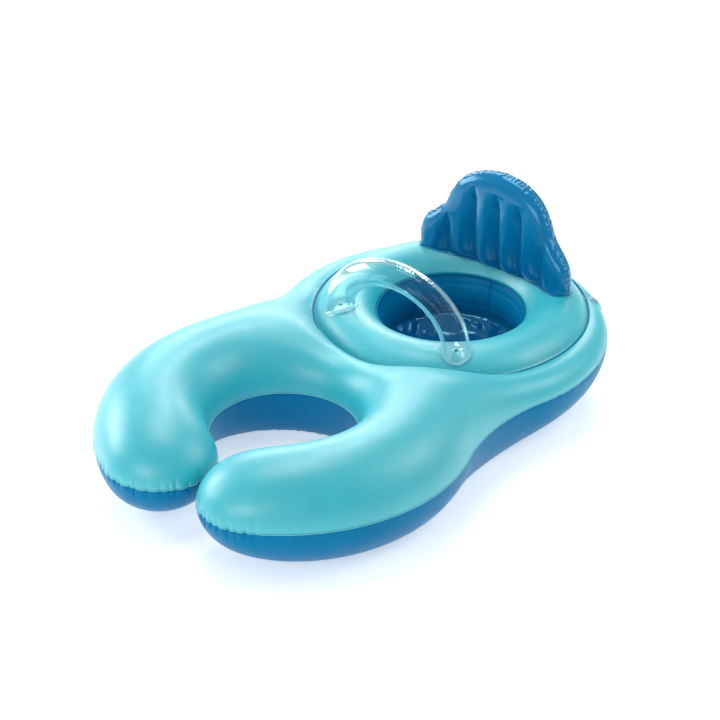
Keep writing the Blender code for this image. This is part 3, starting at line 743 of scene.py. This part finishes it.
def fit_valve(points, faces, name):
    """Draws a sheet flat under a valve's flange and opens its hole."""
    origin, axis = valve_frame(name)
    away = points - origin
    height = away @ axis
    radial = np.linalg.norm(away - height[:, None] * axis, axis=1)
    share = (radial - VALVE_FLANGE_RADIUS) / (1.5 * VALVE_FLANGE_RADIUS)
    share = np.clip(np.maximum(share, (np.abs(height) - 0.004) / 0.008), 0, 1)
    keep = share * share * (3 - 2 * share)
    target = height * keep - (FILM + GAP) * (1 - keep)
    points = points + (target - height)[:, None] * axis
    return open_hole(points, faces, origin, axis, VALVE_HOLE_RADIUS - GAP)


def open_hole(points, faces, origin, axis, radius):
    """Cuts a round hole in a sheet, after splitting its faces there."""
    work = open_mesh(points, faces)
    origin, axis = Vector(origin), Vector(axis)

    def radial(place):
        away = place - origin
        along = away.dot(axis)
        return (away - axis * along).length if abs(along) < HOLE_DEPTH else 1.0

    for reach in (0.007, 0.004, 0.002):
        near = [f for f in work.faces if radial(f.calc_center_median()) < radius + reach]
        edges = list({e for f in near for e in f.edges})
        bmesh.ops.subdivide_edges(work, edges=edges, cuts=1, use_grid_fill=True)
        bmesh.ops.triangulate(work, faces=[f for f in work.faces if len(f.verts) > 4])
    inside = [f for f in work.faces if radial(f.calc_center_median()) < radius]
    bmesh.ops.delete(work, geom=inside, context="FACES")
    for vertex in work.verts:
        if vertex.is_boundary and 0 < radial(vertex.co) < radius * 1.35:
            away = vertex.co - origin
            along = axis * away.dot(axis)
            vertex.co = origin + along + (away - along).normalized() * radius
    return close_mesh(work)


def turned_points(profile, steps, closed=True, flip=True):
    """Points and faces of a profile of (radius, height) turned round Z."""
    profile = np.array(profile)
    angles = np.arange(steps) * 2 * math.pi / steps
    points = np.stack([profile[:, :1] * np.cos(angles), profile[:, :1] * np.sin(angles),
                       np.repeat(profile[:, 1:], steps, 1)], -1).reshape(-1, 3)
    return points, strip_faces(len(profile), steps, looped=closed, flip=flip)


def rounded(profile, radius=0.0003):
    """Rounds the corners of a closed profile of (radius, height) points."""
    out = []
    points = [np.array(p, float) for p in profile]
    for i, here in enumerate(points):
        before, after = points[i - 1] - here, points[(i + 1) % len(points)] - here
        cut = min(radius, 0.45 * np.linalg.norm(before), 0.45 * np.linalg.norm(after))
        start, end = here + unit_rows(before) * cut, here + unit_rows(after) * cut
        for t in np.linspace(0, 1, 4):
            out.append((1 - t) ** 2 * start + 2 * t * (1 - t) * here + t * t * end)
    return out


def make_valve(name, body):
    """A recessed push-in valve in soft clear vinyl, with finer edges than its CAD solids."""
    origin, axis = valve_frame(name)
    basis = np.array(Vector(axis).to_track_quat("Z", "Y").to_matrix())
    hole, rim = VALVE_HOLE_RADIUS, VALVE_FLANGE_RADIUS
    flange = rounded([(hole, VALVE_FLANGE_HEIGHT), (rim - 0.0008, VALVE_FLANGE_HEIGHT * 0.8),
                      (rim, 0), (hole, 0)])
    lip_low = VALVE_FLANGE_HEIGHT + GAP
    lip_top = lip_low + LIP_HEIGHT
    stem = rounded([(STEM_BORE, lip_top), (LIP_RADIUS, lip_top), (LIP_RADIUS, lip_low),
                    (STEM_RADIUS, lip_low), (STEM_RADIUS, -STEM_DEPTH), (STEM_BORE, -STEM_DEPTH)])
    head_low = lip_top + GAP
    head_top = head_low + PLUG_HEAD_HEIGHT
    foot = head_low - PLUG_SHANK_LENGTH
    head, shank = PLUG_HEAD_RADIUS, PLUG_SHANK_RADIUS
    plug = [(AXIS, head_top - 0.0004), (0.0030, head_top - 0.0004), (0.0036, head_top),
            (head - 0.0003, head_top), (head, head_top - 0.0004), (head - 0.0002, head_low),
            (shank, head_low), (shank, head_low - 0.0040), (shank + 0.0002, head_low - 0.0048),
            (shank, head_low - 0.0056), (shank - 0.0010, foot), (AXIS, foot)]
    flap_top = -STEM_DEPTH - GAP
    flap = [(AXIS, flap_top), (FLAP_RADIUS - 0.0002, flap_top), (FLAP_RADIUS, flap_top - 0.0002),
            (FLAP_RADIUS - 0.0002, flap_top - FLAP_HEIGHT), (AXIS, flap_top - FLAP_HEIGHT)]
    for piece, profile, part, carrier in (
            ("_collar", flange, "_flange", body), ("_neck", stem, "_stem", name + "_stem"),
            ("_stopper", plug, "_plug", name + "_plug"),
            ("_check_flap", flap, "_flap", name + "_flap")):
        points, faces = turned_points(profile, 48)
        thing = add_piece(name + piece, points @ basis.T + origin, faces, "valve_film", film=0)
        place_on(thing, carrier, "valve_vinyl", name + part)
    make_tether(name, origin, basis, (lip_low + lip_top) / 2, (head_low + head_top) / 2)


def make_tether(name, origin, basis, level, head_level):
    """The plug's strap, a fixed loop from the valve's lip round to the plug's head."""
    start, end = LIP_RADIUS - 0.0002, PLUG_HEAD_RADIUS - 0.0002
    outermost = LIP_RADIUS + 0.0026
    route = smooth_curve([(start, level), (outermost - 0.0006, level),
                          (outermost, (level + head_level) / 2),
                          (outermost - 0.0006, head_level), (end, head_level)], 0.0003)
    ahead = unit_rows(np.gradient(route, axis=0))
    sides = 10
    turns = np.arange(sides) * 2 * math.pi / sides
    lift, across = np.cos(turns) * TETHER_RADIUS * 0.8, np.sin(turns) * TETHER_HALF_WIDTH
    points = np.concatenate([np.stack([x - dz * lift, across, z + dx * lift], 1)
                             for (x, z), (dx, dz) in zip(route, ahead)])
    faces = strip_faces(len(route), sides)
    faces += [tuple(range(sides))[::-1], tuple(range(len(points) - sides, len(points)))]
    thing = add_piece(name + "_strap", points @ basis.T + origin, faces, "valve_film", film=0)
    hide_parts(name + "_tether")
    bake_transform(thing)


# ---- seat ring
def ring_height(x, y, lift=0.0):
    """Height of the seat ring's top sheet at a plan point, plus a lift."""
    across = np.hypot(x, y) - RING_MIDDLE
    inside = np.maximum(RING_ARC ** 2 - across ** 2, 0)
    height = RING_EDGE_Z + RING_BULGE - RING_ARC + np.sqrt(inside)
    return np.maximum(height, RING_EDGE_Z) + FILM + lift


def make_ring_top():
    sweep = math.asin(RING_HALF_CHORD / RING_ARC)
    centre_z = RING_EDGE_Z + RING_BULGE - RING_ARC
    profile = [(RING_MIDDLE + RING_ARC * math.sin(a), centre_z + RING_ARC * math.cos(a))
               for a in np.linspace(-sweep, sweep, 31)]
    profile.append((CREASE_RADIUS - GAP, RING_EDGE_Z))
    points, faces = turned_points(profile, 360, closed=False, flip=False)
    angle = np.arctan2(points[:, 1], points[:, 0])
    off = np.abs(angle - BUTT_WELD_ANGLE) * np.hypot(points[:, 0], points[:, 1])
    points[:, 2] -= 0.0006 * np.exp(-(off / 0.002) ** 2)
    for side in (-1, 1):
        x, y = side * HANDLE_HALF_SPAN, HANDLE_Y
        place = np.array([x, y, ring_height(x, y)])
        slope = np.array([ring_height(x + 0.001, y) - ring_height(x - 0.001, y),
                          ring_height(x, y + 0.001) - ring_height(x, y - 0.001)]) / 0.002
        axis = np.array([-slope[0], -slope[1], 1])
        points, faces = open_hole(points, faces, place, axis / np.linalg.norm(axis),
                                  TRANSFER_HOLE_RADIUS)
    points, faces = fit_valve(points, faces, "ring_valve")
    ring = add_piece("ring_top_film", points, faces, "turquoise_film")
    place_on(ring, "float", "turquoise_vinyl", "ring_top_sheet")


def make_ring_partition(float_top):
    """The inner sheet that shuts the seat ring off, and its trimmed weld that shows in the crease."""
    outer_z = CREASE_Z - GAP - FILM
    inner_z = WELL_Z - 2 * GAP - 2 * FILM
    profile = [(WELL_RADIUS + GAP, inner_z), (RING_MIDDLE, (inner_z + outer_z) / 2),
               (CREASE_RADIUS - GAP, outer_z)]
    points, faces = turned_points(profile, 240, closed=False, flip=False)
    thing = add_piece("ring_partition_film", points, faces, "ocean_blue_film")
    place_on(thing, "float", "ocean_blue_vinyl", "ring_partition_sheet")

    settled = BVHTree.FromObject(float_top, bpy.context.evaluated_depsgraph_get())
    rows = []
    for out, lift in ((-0.0012, 0.0010), (0.0002, 0.0012), (0.0014, 0.0010)):
        row = []
        for x, y in circle(CREASE_RADIUS + out, CREASE_STEPS):
            place = settled.ray_cast(Vector((x, y + SEAT_Y, 0.3)), Vector((0, 0, -1)))[0]
            row.append((x, y, place.z + lift))
        rows.append(row)
    bead = add_rows("crease_weld", rows, "ocean_blue_film", flip=True, film=CREASE_WELD)
    place_on(bead, "float", "ocean_blue_vinyl")


# ---- seat well
def make_well_wall():
    top_z = WELL_Z - GAP - FILM
    profile = [(RIM_RADIUS - RIM_LAP, RIM_Z), (RIM_RADIUS - 0.0015, RIM_Z)]
    for share in np.linspace(0, 1, 33):
        swelled = WELL_BULGE * math.sin(math.pi * share)
        for depth, height, half in WELL_FOLDS:
            swelled -= depth * math.exp(-((share - height) / half) ** 2)
        radius = RIM_RADIUS + (WELL_RADIUS - 2 * GAP - RIM_RADIUS) * share - swelled
        profile.append((radius, RIM_Z + (top_z - RIM_Z) * share))
    profile.append((WELL_RADIUS + CREASE_LAP, top_z))
    points, faces = turned_points(profile, WELL_STEPS, closed=False, flip=False)
    angle = np.arctan2(points[:, 1], points[:, 0])
    radius = np.hypot(points[:, 0], points[:, 1])
    off = (angle - BUTT_WELD_ANGLE) * radius
    drawn = BUTT_WELD_DEPTH * np.exp(-np.abs(off) / BUTT_WELD_HALF)
    inside = (points[:, 2] > RIM_Z + 0.004) & (points[:, 2] < top_z - 0.002)
    slack = WELL_SLACK * np.sin(9 * angle + 40 * points[:, 2]) * np.sin(5 * angle)
    points[:, :2] *= (1 + np.where(inside, drawn + slack, 0) / radius)[:, None]
    wall = add_piece("seat_well_film", points, faces, "ocean_blue_film")
    place_on(wall, "float", "ocean_blue_vinyl", "seat_well_wall")

    top = [(WELL_RADIUS - 0.0002, RING_EDGE_Z + 0.0006), (WELL_RADIUS - 0.0014, RING_EDGE_Z + 0.0004),
           (WELL_RADIUS - 0.0026, RING_EDGE_Z - 0.0002)]
    foot = [(RIM_RADIUS - 0.0012, RIM_Z + 0.0009), (RIM_RADIUS - RIM_LAP - 0.0006, RIM_Z + 0.0007)]
    for name, profile, wave in (("well_rim_weld", top, 0.0003), ("well_foot_weld", foot, 0.0)):
        points, faces = turned_points(profile, WELL_STEPS, closed=False)
        angle = np.arctan2(points[:, 1], points[:, 0])
        points[:, 2] += wave * np.sin(61 * angle) * np.sin(17 * angle)
        weld = add_piece(name, points, faces, "ocean_blue_film", film=LAID_WELD)
        place_on(weld, "float", "ocean_blue_vinyl")


def sling_height(x, y):
    inside = RIM_RADIUS - RIM_LAP
    share = np.minimum((x ** 2 + y ** 2) / inside ** 2, 1)
    return RIM_Z - FILM - GAP - SLING_SAG * (1 - share)


def hang_sling(thing, pinned):
    """Lets the slack seat film hang and crumple in its welded rim."""
    group = thing.vertex_groups.new(name="welded")
    group.add([int(i) for i in pinned], 1.0, "REPLACE")
    start = np.array([v.co for v in thing.data.vertices])
    cloth = thing.modifiers.new("cloth", "CLOTH")
    for key, value in dict(
            quality=6, mass=0.12, tension_stiffness=25, compression_stiffness=25,
            shear_stiffness=8, bending_stiffness=SLING_STIFFNESS, shrink_min=-SLING_SLACK,
            shrink_max=-SLING_SLACK, vertex_group_mass="welded").items():
        setattr(cloth.settings, key, value)
    cloth.collision_settings.use_collision = False
    cloth.point_cache.frame_start = 1
    cloth.point_cache.frame_end = SLING_FRAMES
    scene = bpy.context.scene
    for step in range(1, SLING_FRAMES + 1):
        scene.frame_set(step)
    settle_modifiers(thing)
    scene.frame_set(1)
    shift = np.array([v.co for v in thing.data.vertices]) - start
    size = np.linalg.norm(shift, axis=1)[:, None]
    moved = start + shift * np.minimum(1, SLING_REACH / np.maximum(size, 1e-9))
    moved[:, 2] = np.maximum(moved[:, 2], SLING_FLOOR)
    thing.data.vertices.foreach_set("co", moved.astype(np.float32).ravel())
    work = bmesh.new()
    work.from_mesh(thing.data)
    loose = [v for v in work.verts if not v.is_boundary]
    for _ in range(3):
        bmesh.ops.smooth_vert(work, verts=loose, factor=0.5, use_axis_x=True, use_axis_y=True,
                              use_axis_z=True)
    work.to_mesh(thing.data)
    work.free()
    thing.data.update()


def make_sling():
    rim = circle(RIM_RADIUS - 0.0006, SLING_EDGE_POINTS)
    holes = [circle(LEG_HOLE_RADIUS, LEG_HOLE_POINTS, (side * LEG_HOLE_X, LEG_HOLE_Y))
             for side in (-1, 1)]
    flat, faces = planar_mesh(rim, holes, 0.0042)
    ripple = np.random.default_rng(5).uniform(-0.0004, 0.0004, len(flat))
    inside = np.hypot(flat[:, 0], flat[:, 1]) < RIM_RADIUS - RIM_LAP
    height = sling_height(flat[:, 0], flat[:, 1]) + np.where(inside, ripple, 0)
    sling = add_piece("seat_sling_film", np.column_stack([flat, height]), faces,
                      "sling_blue_film", film=0)
    hang_sling(sling, np.flatnonzero(~inside))
    thicken(sling, FILM, -1.0)
    sling.data.shade_smooth()
    subdivide(sling, 1)
    settled = np.array([v.co for v in sling.data.vertices]) - (0, SEAT_Y, 0)
    settle_modifiers(sling)
    place_on(sling, "float", "deep_blue_vinyl", "seat_sling")
    edges = settled[SLING_EDGE_POINTS:][:2 * LEG_HOLE_POINTS].reshape(2, LEG_HOLE_POINTS, 3)
    hems = [make_hem(name, edge) for name, edge in zip(("left", "right"), edges)]


def make_hem(name, route):
    """A thick welded ring round a leg hole, which follows the film's crumpled edge."""
    turns = np.arange(10) * 2 * math.pi / 10
    out = unit_rows((route - route.mean(0)) * (1, 1, 0))
    centre = route + out * (HEM_WIDTH / 2 - 0.0006)
    rows = centre[:, None] + np.cos(turns)[:, None] * out[:, None] * HEM_WIDTH / 2
    rows[..., 2] += np.sin(turns) * 0.0011
    hem = add_rows("leg_hole_ring_" + name, rows, "ocean_blue_film", looped=True, flip=True,
                   film=0, levels=1)
    settle_modifiers(hem)
    place_on(hem, "float", "ocean_blue_vinyl", "leg_hole_hem_" + name)
    return hem


# ---- backrest
def backrest_middle(x):
    return BACKREST_Y - BACKREST_WRAP * (x / BACKREST_HALF_WIDTH) ** 2


def backrest_base_half(x):
    share = np.abs(x) / BACKREST_HALF_WIDTH
    return BACKREST_BASE_HALF * (0.1 + 0.9 * share ** 2) * np.sqrt(np.maximum(1 - share ** 6, 0))


def settle_base(x, y, z, lift=0.0007):
    """Lets the cushion's lower edge follow the seat ring that it is welded to."""
    share = np.clip(1 - (z - BACKREST_BASE_Z) / 0.05, 0, 1)
    return z + (ring_height(x, y, lift) - BACKREST_BASE_Z) * share


def channel_share(x, z):
    """How much thickness is left where the two panels are welded along the channels."""
    left = np.ones_like(x)
    for line, top in CHANNELS:
        fade_top = np.clip((top - z) / 0.030, 0, 1)
        fade_base = np.clip((z - BACKREST_BASE_Z + 0.012) / 0.02, 0, 1)
        off = np.abs(x - line) / (CHANNEL_PITCH / 2)
        groove = np.clip(1 - off, 0, 1) ** 1.6 * 0.62 + 0.38 * np.exp(-off / 0.14)
        left -= CHANNEL_DEPTH * groove * fade_top ** 0.6 * fade_base
    return left


def make_backrest():
    side = smooth_curve(BACKREST_SIDE, CUSHION_STEP)
    crown = np.concatenate([side, side[-2::-1] * (-1, 1)])
    base_x = np.linspace(-BACKREST_HALF_WIDTH, BACKREST_HALF_WIDTH, 121)[1:-1]
    outline = np.concatenate([crown, at_level(base_x, BACKREST_BASE_Z)])
    columns, crowned = len(outline), len(crown)
    edge = np.concatenate([np.zeros(crowned), backrest_base_half(base_x)])
    from_corner = np.minimum(np.arange(crowned), np.arange(crowned)[::-1]) * CUSHION_STEP
    ease = np.full(columns, 0.04)
    ease[:crowned] = np.clip(from_corner / 0.012, 0.04, 1)
    plan, thick, faces, _ = swelled_sheet(outline, BACKREST_HALF_THICKNESS, None, 0.0024, edge,
                                          0.0, BACKREST_HALF_THICKNESS, ease[:, None])
    thick = thick * channel_share(plan[:, 0], plan[:, 1])

    places, total = arc_length(outline)
    along = places / places[crowned - 1]
    top = np.exp(-((along - 0.5) / 0.16) ** 2)
    depth, spacing, reach = (side + crowning * top for side, crowning in CUSHION_PUCKERS)
    depth[(along < 0.02) | (along > 0.98)] = 0.0
    pinches = place_puckers(23, places, total, depth, spacing, reach)
    ups = BACKREST_HALF_THICKNESS * SHOWN_TURNS[:-1]
    drawn = pucker(places, total, ups, pinches, CUSHION_PINCH_WIDTH)
    drawn -= 0.25 * depth[None] * np.exp(-(ups / CUSHION_FLARE_REACH)[:, None])
    drawn[:, crowned:] = 0
    outward = at_level(unit_rows(outline - offset_loop(outline, 0.001)), 0)[:, (0, 2, 1)]
    for name, way in (("front", -1), ("rear", 1)):
        y = backrest_middle(plan[:, 0]) + way * (thick + GAP / 2)
        points = np.column_stack([plan[:, 0], y, settle_base(plan[:, 0], y, plan[:, 1])])
        made = [f if way < 0 else f[::-1] for f in faces]
        pinch_sheet(points, made, columns, ups, drawn, outward)
        if way < 0:
            make_cushion_weld(points[:crowned], outward[:crowned], places[:crowned])
        points, made = merge_slivers(points, made)
        if way > 0:
            points, made = fit_valve(points, made, "backrest_valve")
        panel = add_piece("backrest_" + name + "_film", points, made, "cushion_blue_film")
        place_on_cushion(panel, "backrest_" + name + "_panel")
    make_base_weld(base_x)


def place_on_cushion(thing, *replaced):
    """Applies the modifiers of a cushion piece, already bent where it is welded to the ring, hides the
    CAD parts that it replaces and bakes its place into its points.
    """
    settle_modifiers(thing)
    if replaced:
        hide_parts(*replaced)
    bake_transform(thing)


def make_cushion_weld(seam, outward, places):
    """The cushion's trimmed weld, a little wavy, between its two panels, in a film paler than the
    cushion: partly its own colour, partly painted highlight along the top edge.
    """
    wave = 0.0005 * np.sin(places / 0.0037) * np.sin(places / 0.0113)
    rows = []
    for out in WELD_ROWS:
        row = seam + outward * out
        row[:, 1] = backrest_middle(row[:, 0]) + max(out, 0) / WELD_EDGE * wave - SEAM_WELD / 2
        rows.append(row)
    place_on_cushion(add_rows("backrest_seam_weld", rows, "cushion_weld_painted_highlight_film", closed=False,
                              flip=True, film=SEAM_WELD))


def merge_slivers(points, faces):
    """Joins points that lie closer than the film's thickness, and drops faces without area."""
    work = open_mesh(points, faces)
    bmesh.ops.remove_doubles(work, verts=work.verts, dist=FILM)
    bmesh.ops.dissolve_degenerate(work, edges=work.edges, dist=FILM / 4)
    return close_mesh(work)


def make_base_weld(base_x):
    """The flat weld round the cushion's foot, lying on the seat ring."""
    x = np.concatenate([[-BACKREST_HALF_WIDTH], base_x, [BACKREST_HALF_WIDTH]])
    middle, half = backrest_middle(x), backrest_base_half(x)
    rows = []
    for shift, share, lift in ((-0.0045, -1, 0.0002), (-0.0035, -1, 0.0004), (0, -1, 0.0004),
                               (0, 0, 0.0004), (0, 1, 0.0004)):
        y = middle + half * share + shift
        rows.append(np.column_stack([x, y, ring_height(x, y, lift)]))
    place_on_cushion(add_rows("backrest_base_weld", rows, "cushion_blue_film", closed=False,
                              film=LAID_WELD), "backrest_base_gusset")


# ---- grab handle
def make_handle_feet():
    outer = FOOT_RADIUS
    profile = [(TRANSFER_HOLE_RADIUS, 0.0009), (0.006, 0.0010), (outer - 0.0042, 0.0010),
               (outer - 0.0034, 0.0017), (outer - 0.0022, 0.0021), (outer - 0.0010, 0.0017),
               (outer - 0.0004, 0.0011), (outer, 0.0006)]
    for side, name in ((-1, "left"), (1, "right")):
        points, faces = turned_points(profile, 96, closed=False, flip=False)
        points[:, :2] += (side * HANDLE_HALF_SPAN, HANDLE_Y)
        points[:, 2] += ring_height(points[:, 0], points[:, 1])
        disc = add_piece("foot_weld_" + name, points, faces, "clear_weld_film")
        place_on(disc, "float", "clear_vinyl", "handle_foot_weld_" + name)


def make_handle():
    """Two clear films round a half-elliptic arch, welded along its outer and inner edge."""
    foot_z = float(ring_height(HANDLE_HALF_SPAN, HANDLE_Y))
    angles = np.linspace(0, math.pi, 261)
    x, z = HANDLE_HALF_SPAN * np.cos(angles), foot_z + HANDLE_RISE * np.sin(angles)
    normal = unit_rows(np.stack([HANDLE_RISE * np.cos(angles), HANDLE_HALF_SPAN * np.sin(angles)], 1))
    outer_seam = np.stack([x, z], 1) + normal * HANDLE_RADIUS
    places = np.concatenate([[0], np.cumsum(np.linalg.norm(np.diff(outer_seam, axis=0), axis=1))])
    total = places[-1]
    share = places / total
    strength = sum(most * np.exp(-((share - middle) / half) ** 2)
                   for middle, half, most in HANDLE_WRINKLES)
    even = np.ones(len(places))
    outer_pinches = place_puckers(31, places, total, 0.0013 * strength + 0.0002, 0.0062 * even,
                                  0.011 * even)
    inner_pinches = place_puckers(37, places, total, 0.0005 * strength, 0.011 * even, 0.008 * even)
    turns = np.linspace(0, math.pi, 23)
    ups = HANDLE_RADIUS * turns
    drawn = pucker(places, total * 2, ups, outer_pinches, 0.0022)
    drawn += pucker(places, total * 2, ups[-1] - ups, inner_pinches, 0.0025)
    from_foot = np.minimum(places, total - places)
    radius = HANDLE_RADIUS * (1 + HANDLE_FLARE * np.exp(-(from_foot / 0.012) ** 1.5))
    up = at_level(normal, 0)[:, (0, 2, 1)]
    cuts = [(1, 0, radius + HANDLE_SEAM - drawn[0])]
    cuts += [(math.cos(turn), math.sin(turn), radius - row) for turn, row in zip(turns, drawn)]
    cuts += [(-1, 0, radius + HANDLE_SEAM - drawn[-1])]
    for name, way in (("front", -1), ("rear", 1)):
        middle = np.stack([x, np.full(len(x), HANDLE_Y + way * GAP / 2), z], 1)
        points = np.stack([middle + (up * rise + (0, way * across, 0)) * reach[:, None]
                           for rise, across, reach in cuts], 1).reshape(-1, 3)
        floor = ring_height(points[:, 0], points[:, 1], 0.0012)
        points[:, 2] = np.maximum(points[:, 2], floor)
        faces = strip_faces(len(x), len(cuts), closed=False, flip=way > 0)
        flat = points[np.array(faces)]
        size = np.linalg.norm(np.cross(flat[:, 2] - flat[:, 0], flat[:, 3] - flat[:, 1]), axis=1)
        faces = [f for f, s in zip(faces, size) if s > 1e-9]
        panel = add_piece("handle_" + name + "_film", points, faces, "clear_film", film=0)
        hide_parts("handle_" + name + "_panel")
        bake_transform(panel)


# ---- floor, light and camera
def make_floor():
    bpy.ops.mesh.primitive_plane_add(size=60)
    floor = bpy.context.object
    floor.name = "studio_floor"
    material, tree, shader = start_material("studio_floor")
    set_inputs(tree, shader, {
        "Base Color": (0.85, 0.87, 0.88, 1), "Roughness": 0.28, "Specular IOR Level": 0.35,
        "Emission Color": (0.93, 0.97, 1.0, 1), "Emission Strength": 0.5})
    floor.data.materials.append(material)


def add_softbox(name, place, target, width, height, power):
    light = bpy.data.lights.new(name, "AREA")
    light.shape = "RECTANGLE"
    light.size, light.size_y = width, height
    light.energy = power
    thing = add_object(name, light)
    thing.location = place
    thing.rotation_euler = (Vector(target) - Vector(place)).to_track_quat("-Z", "Y").to_euler()


def make_light():
    world = bpy.data.worlds.new("studio")
    world.use_nodes = True
    tree = world.node_tree
    sky = tree.nodes.get("Background") or tree.nodes.new("ShaderNodeBackground")
    set_inputs(tree, sky, {"Color": (0.97, 0.985, 1.0, 1), "Strength": 0.45})
    bpy.context.scene.world = world
    middle, arms = (0, 0, 0.1), (0, -0.2, 0.1)
    for name, *placed in (
            ("top_light", (-0.5, 0.2, 2.5), middle, 1.1, 1.1, 20),
            ("spark_light", (-0.9, 1.3, 2.1), middle, 0.32, 0.32, 9),
            ("left_light", (-2.4, -0.6, 1.0), arms, 1.6, 1.0, 34),
            ("back_light", (-1.6, 2.0, 1.1), middle, 2.4, 0.8, 34),
            ("right_light", (1.5, 1.2, 1.6), middle, 1.2, 1.2, 16),
            ("front_light", (0.2, -2.6, 1.2), arms, 1.6, 0.9, 20)):
        add_softbox(name, *placed)


def make_camera():
    camera = bpy.data.cameras.new("camera")
    camera.lens, camera.sensor_width, camera.clip_end = CAMERA_LENS, 36, 100
    azimuth, elevation = CAMERA_ANGLES
    flat = math.cos(elevation)
    back = Vector((math.sin(azimuth) * flat, -math.cos(azimuth) * flat, math.sin(elevation)))
    thing = add_object("camera", camera)
    thing.location = Vector(CAMERA_TARGET) + back * CAMERA_DISTANCE
    thing.rotation_euler = back.to_track_quat("Z", "Y").to_euler()
    bpy.context.scene.camera = thing


make_floor()
make_light()
make_camera()
bpy.context.scene.view_settings.view_transform = "Standard"

top_sheet = make_float_sheets()
make_ring_top()
bpy.context.view_layer.update()
make_ring_partition(top_sheet)
make_well_wall()
make_sling()
make_backrest()
make_handle_feet()
make_handle()
for valve, carrier in (("float_valve", "float"), ("ring_valve", "float"),
                       ("backrest_valve", "backrest")):
    make_valve(valve, carrier)
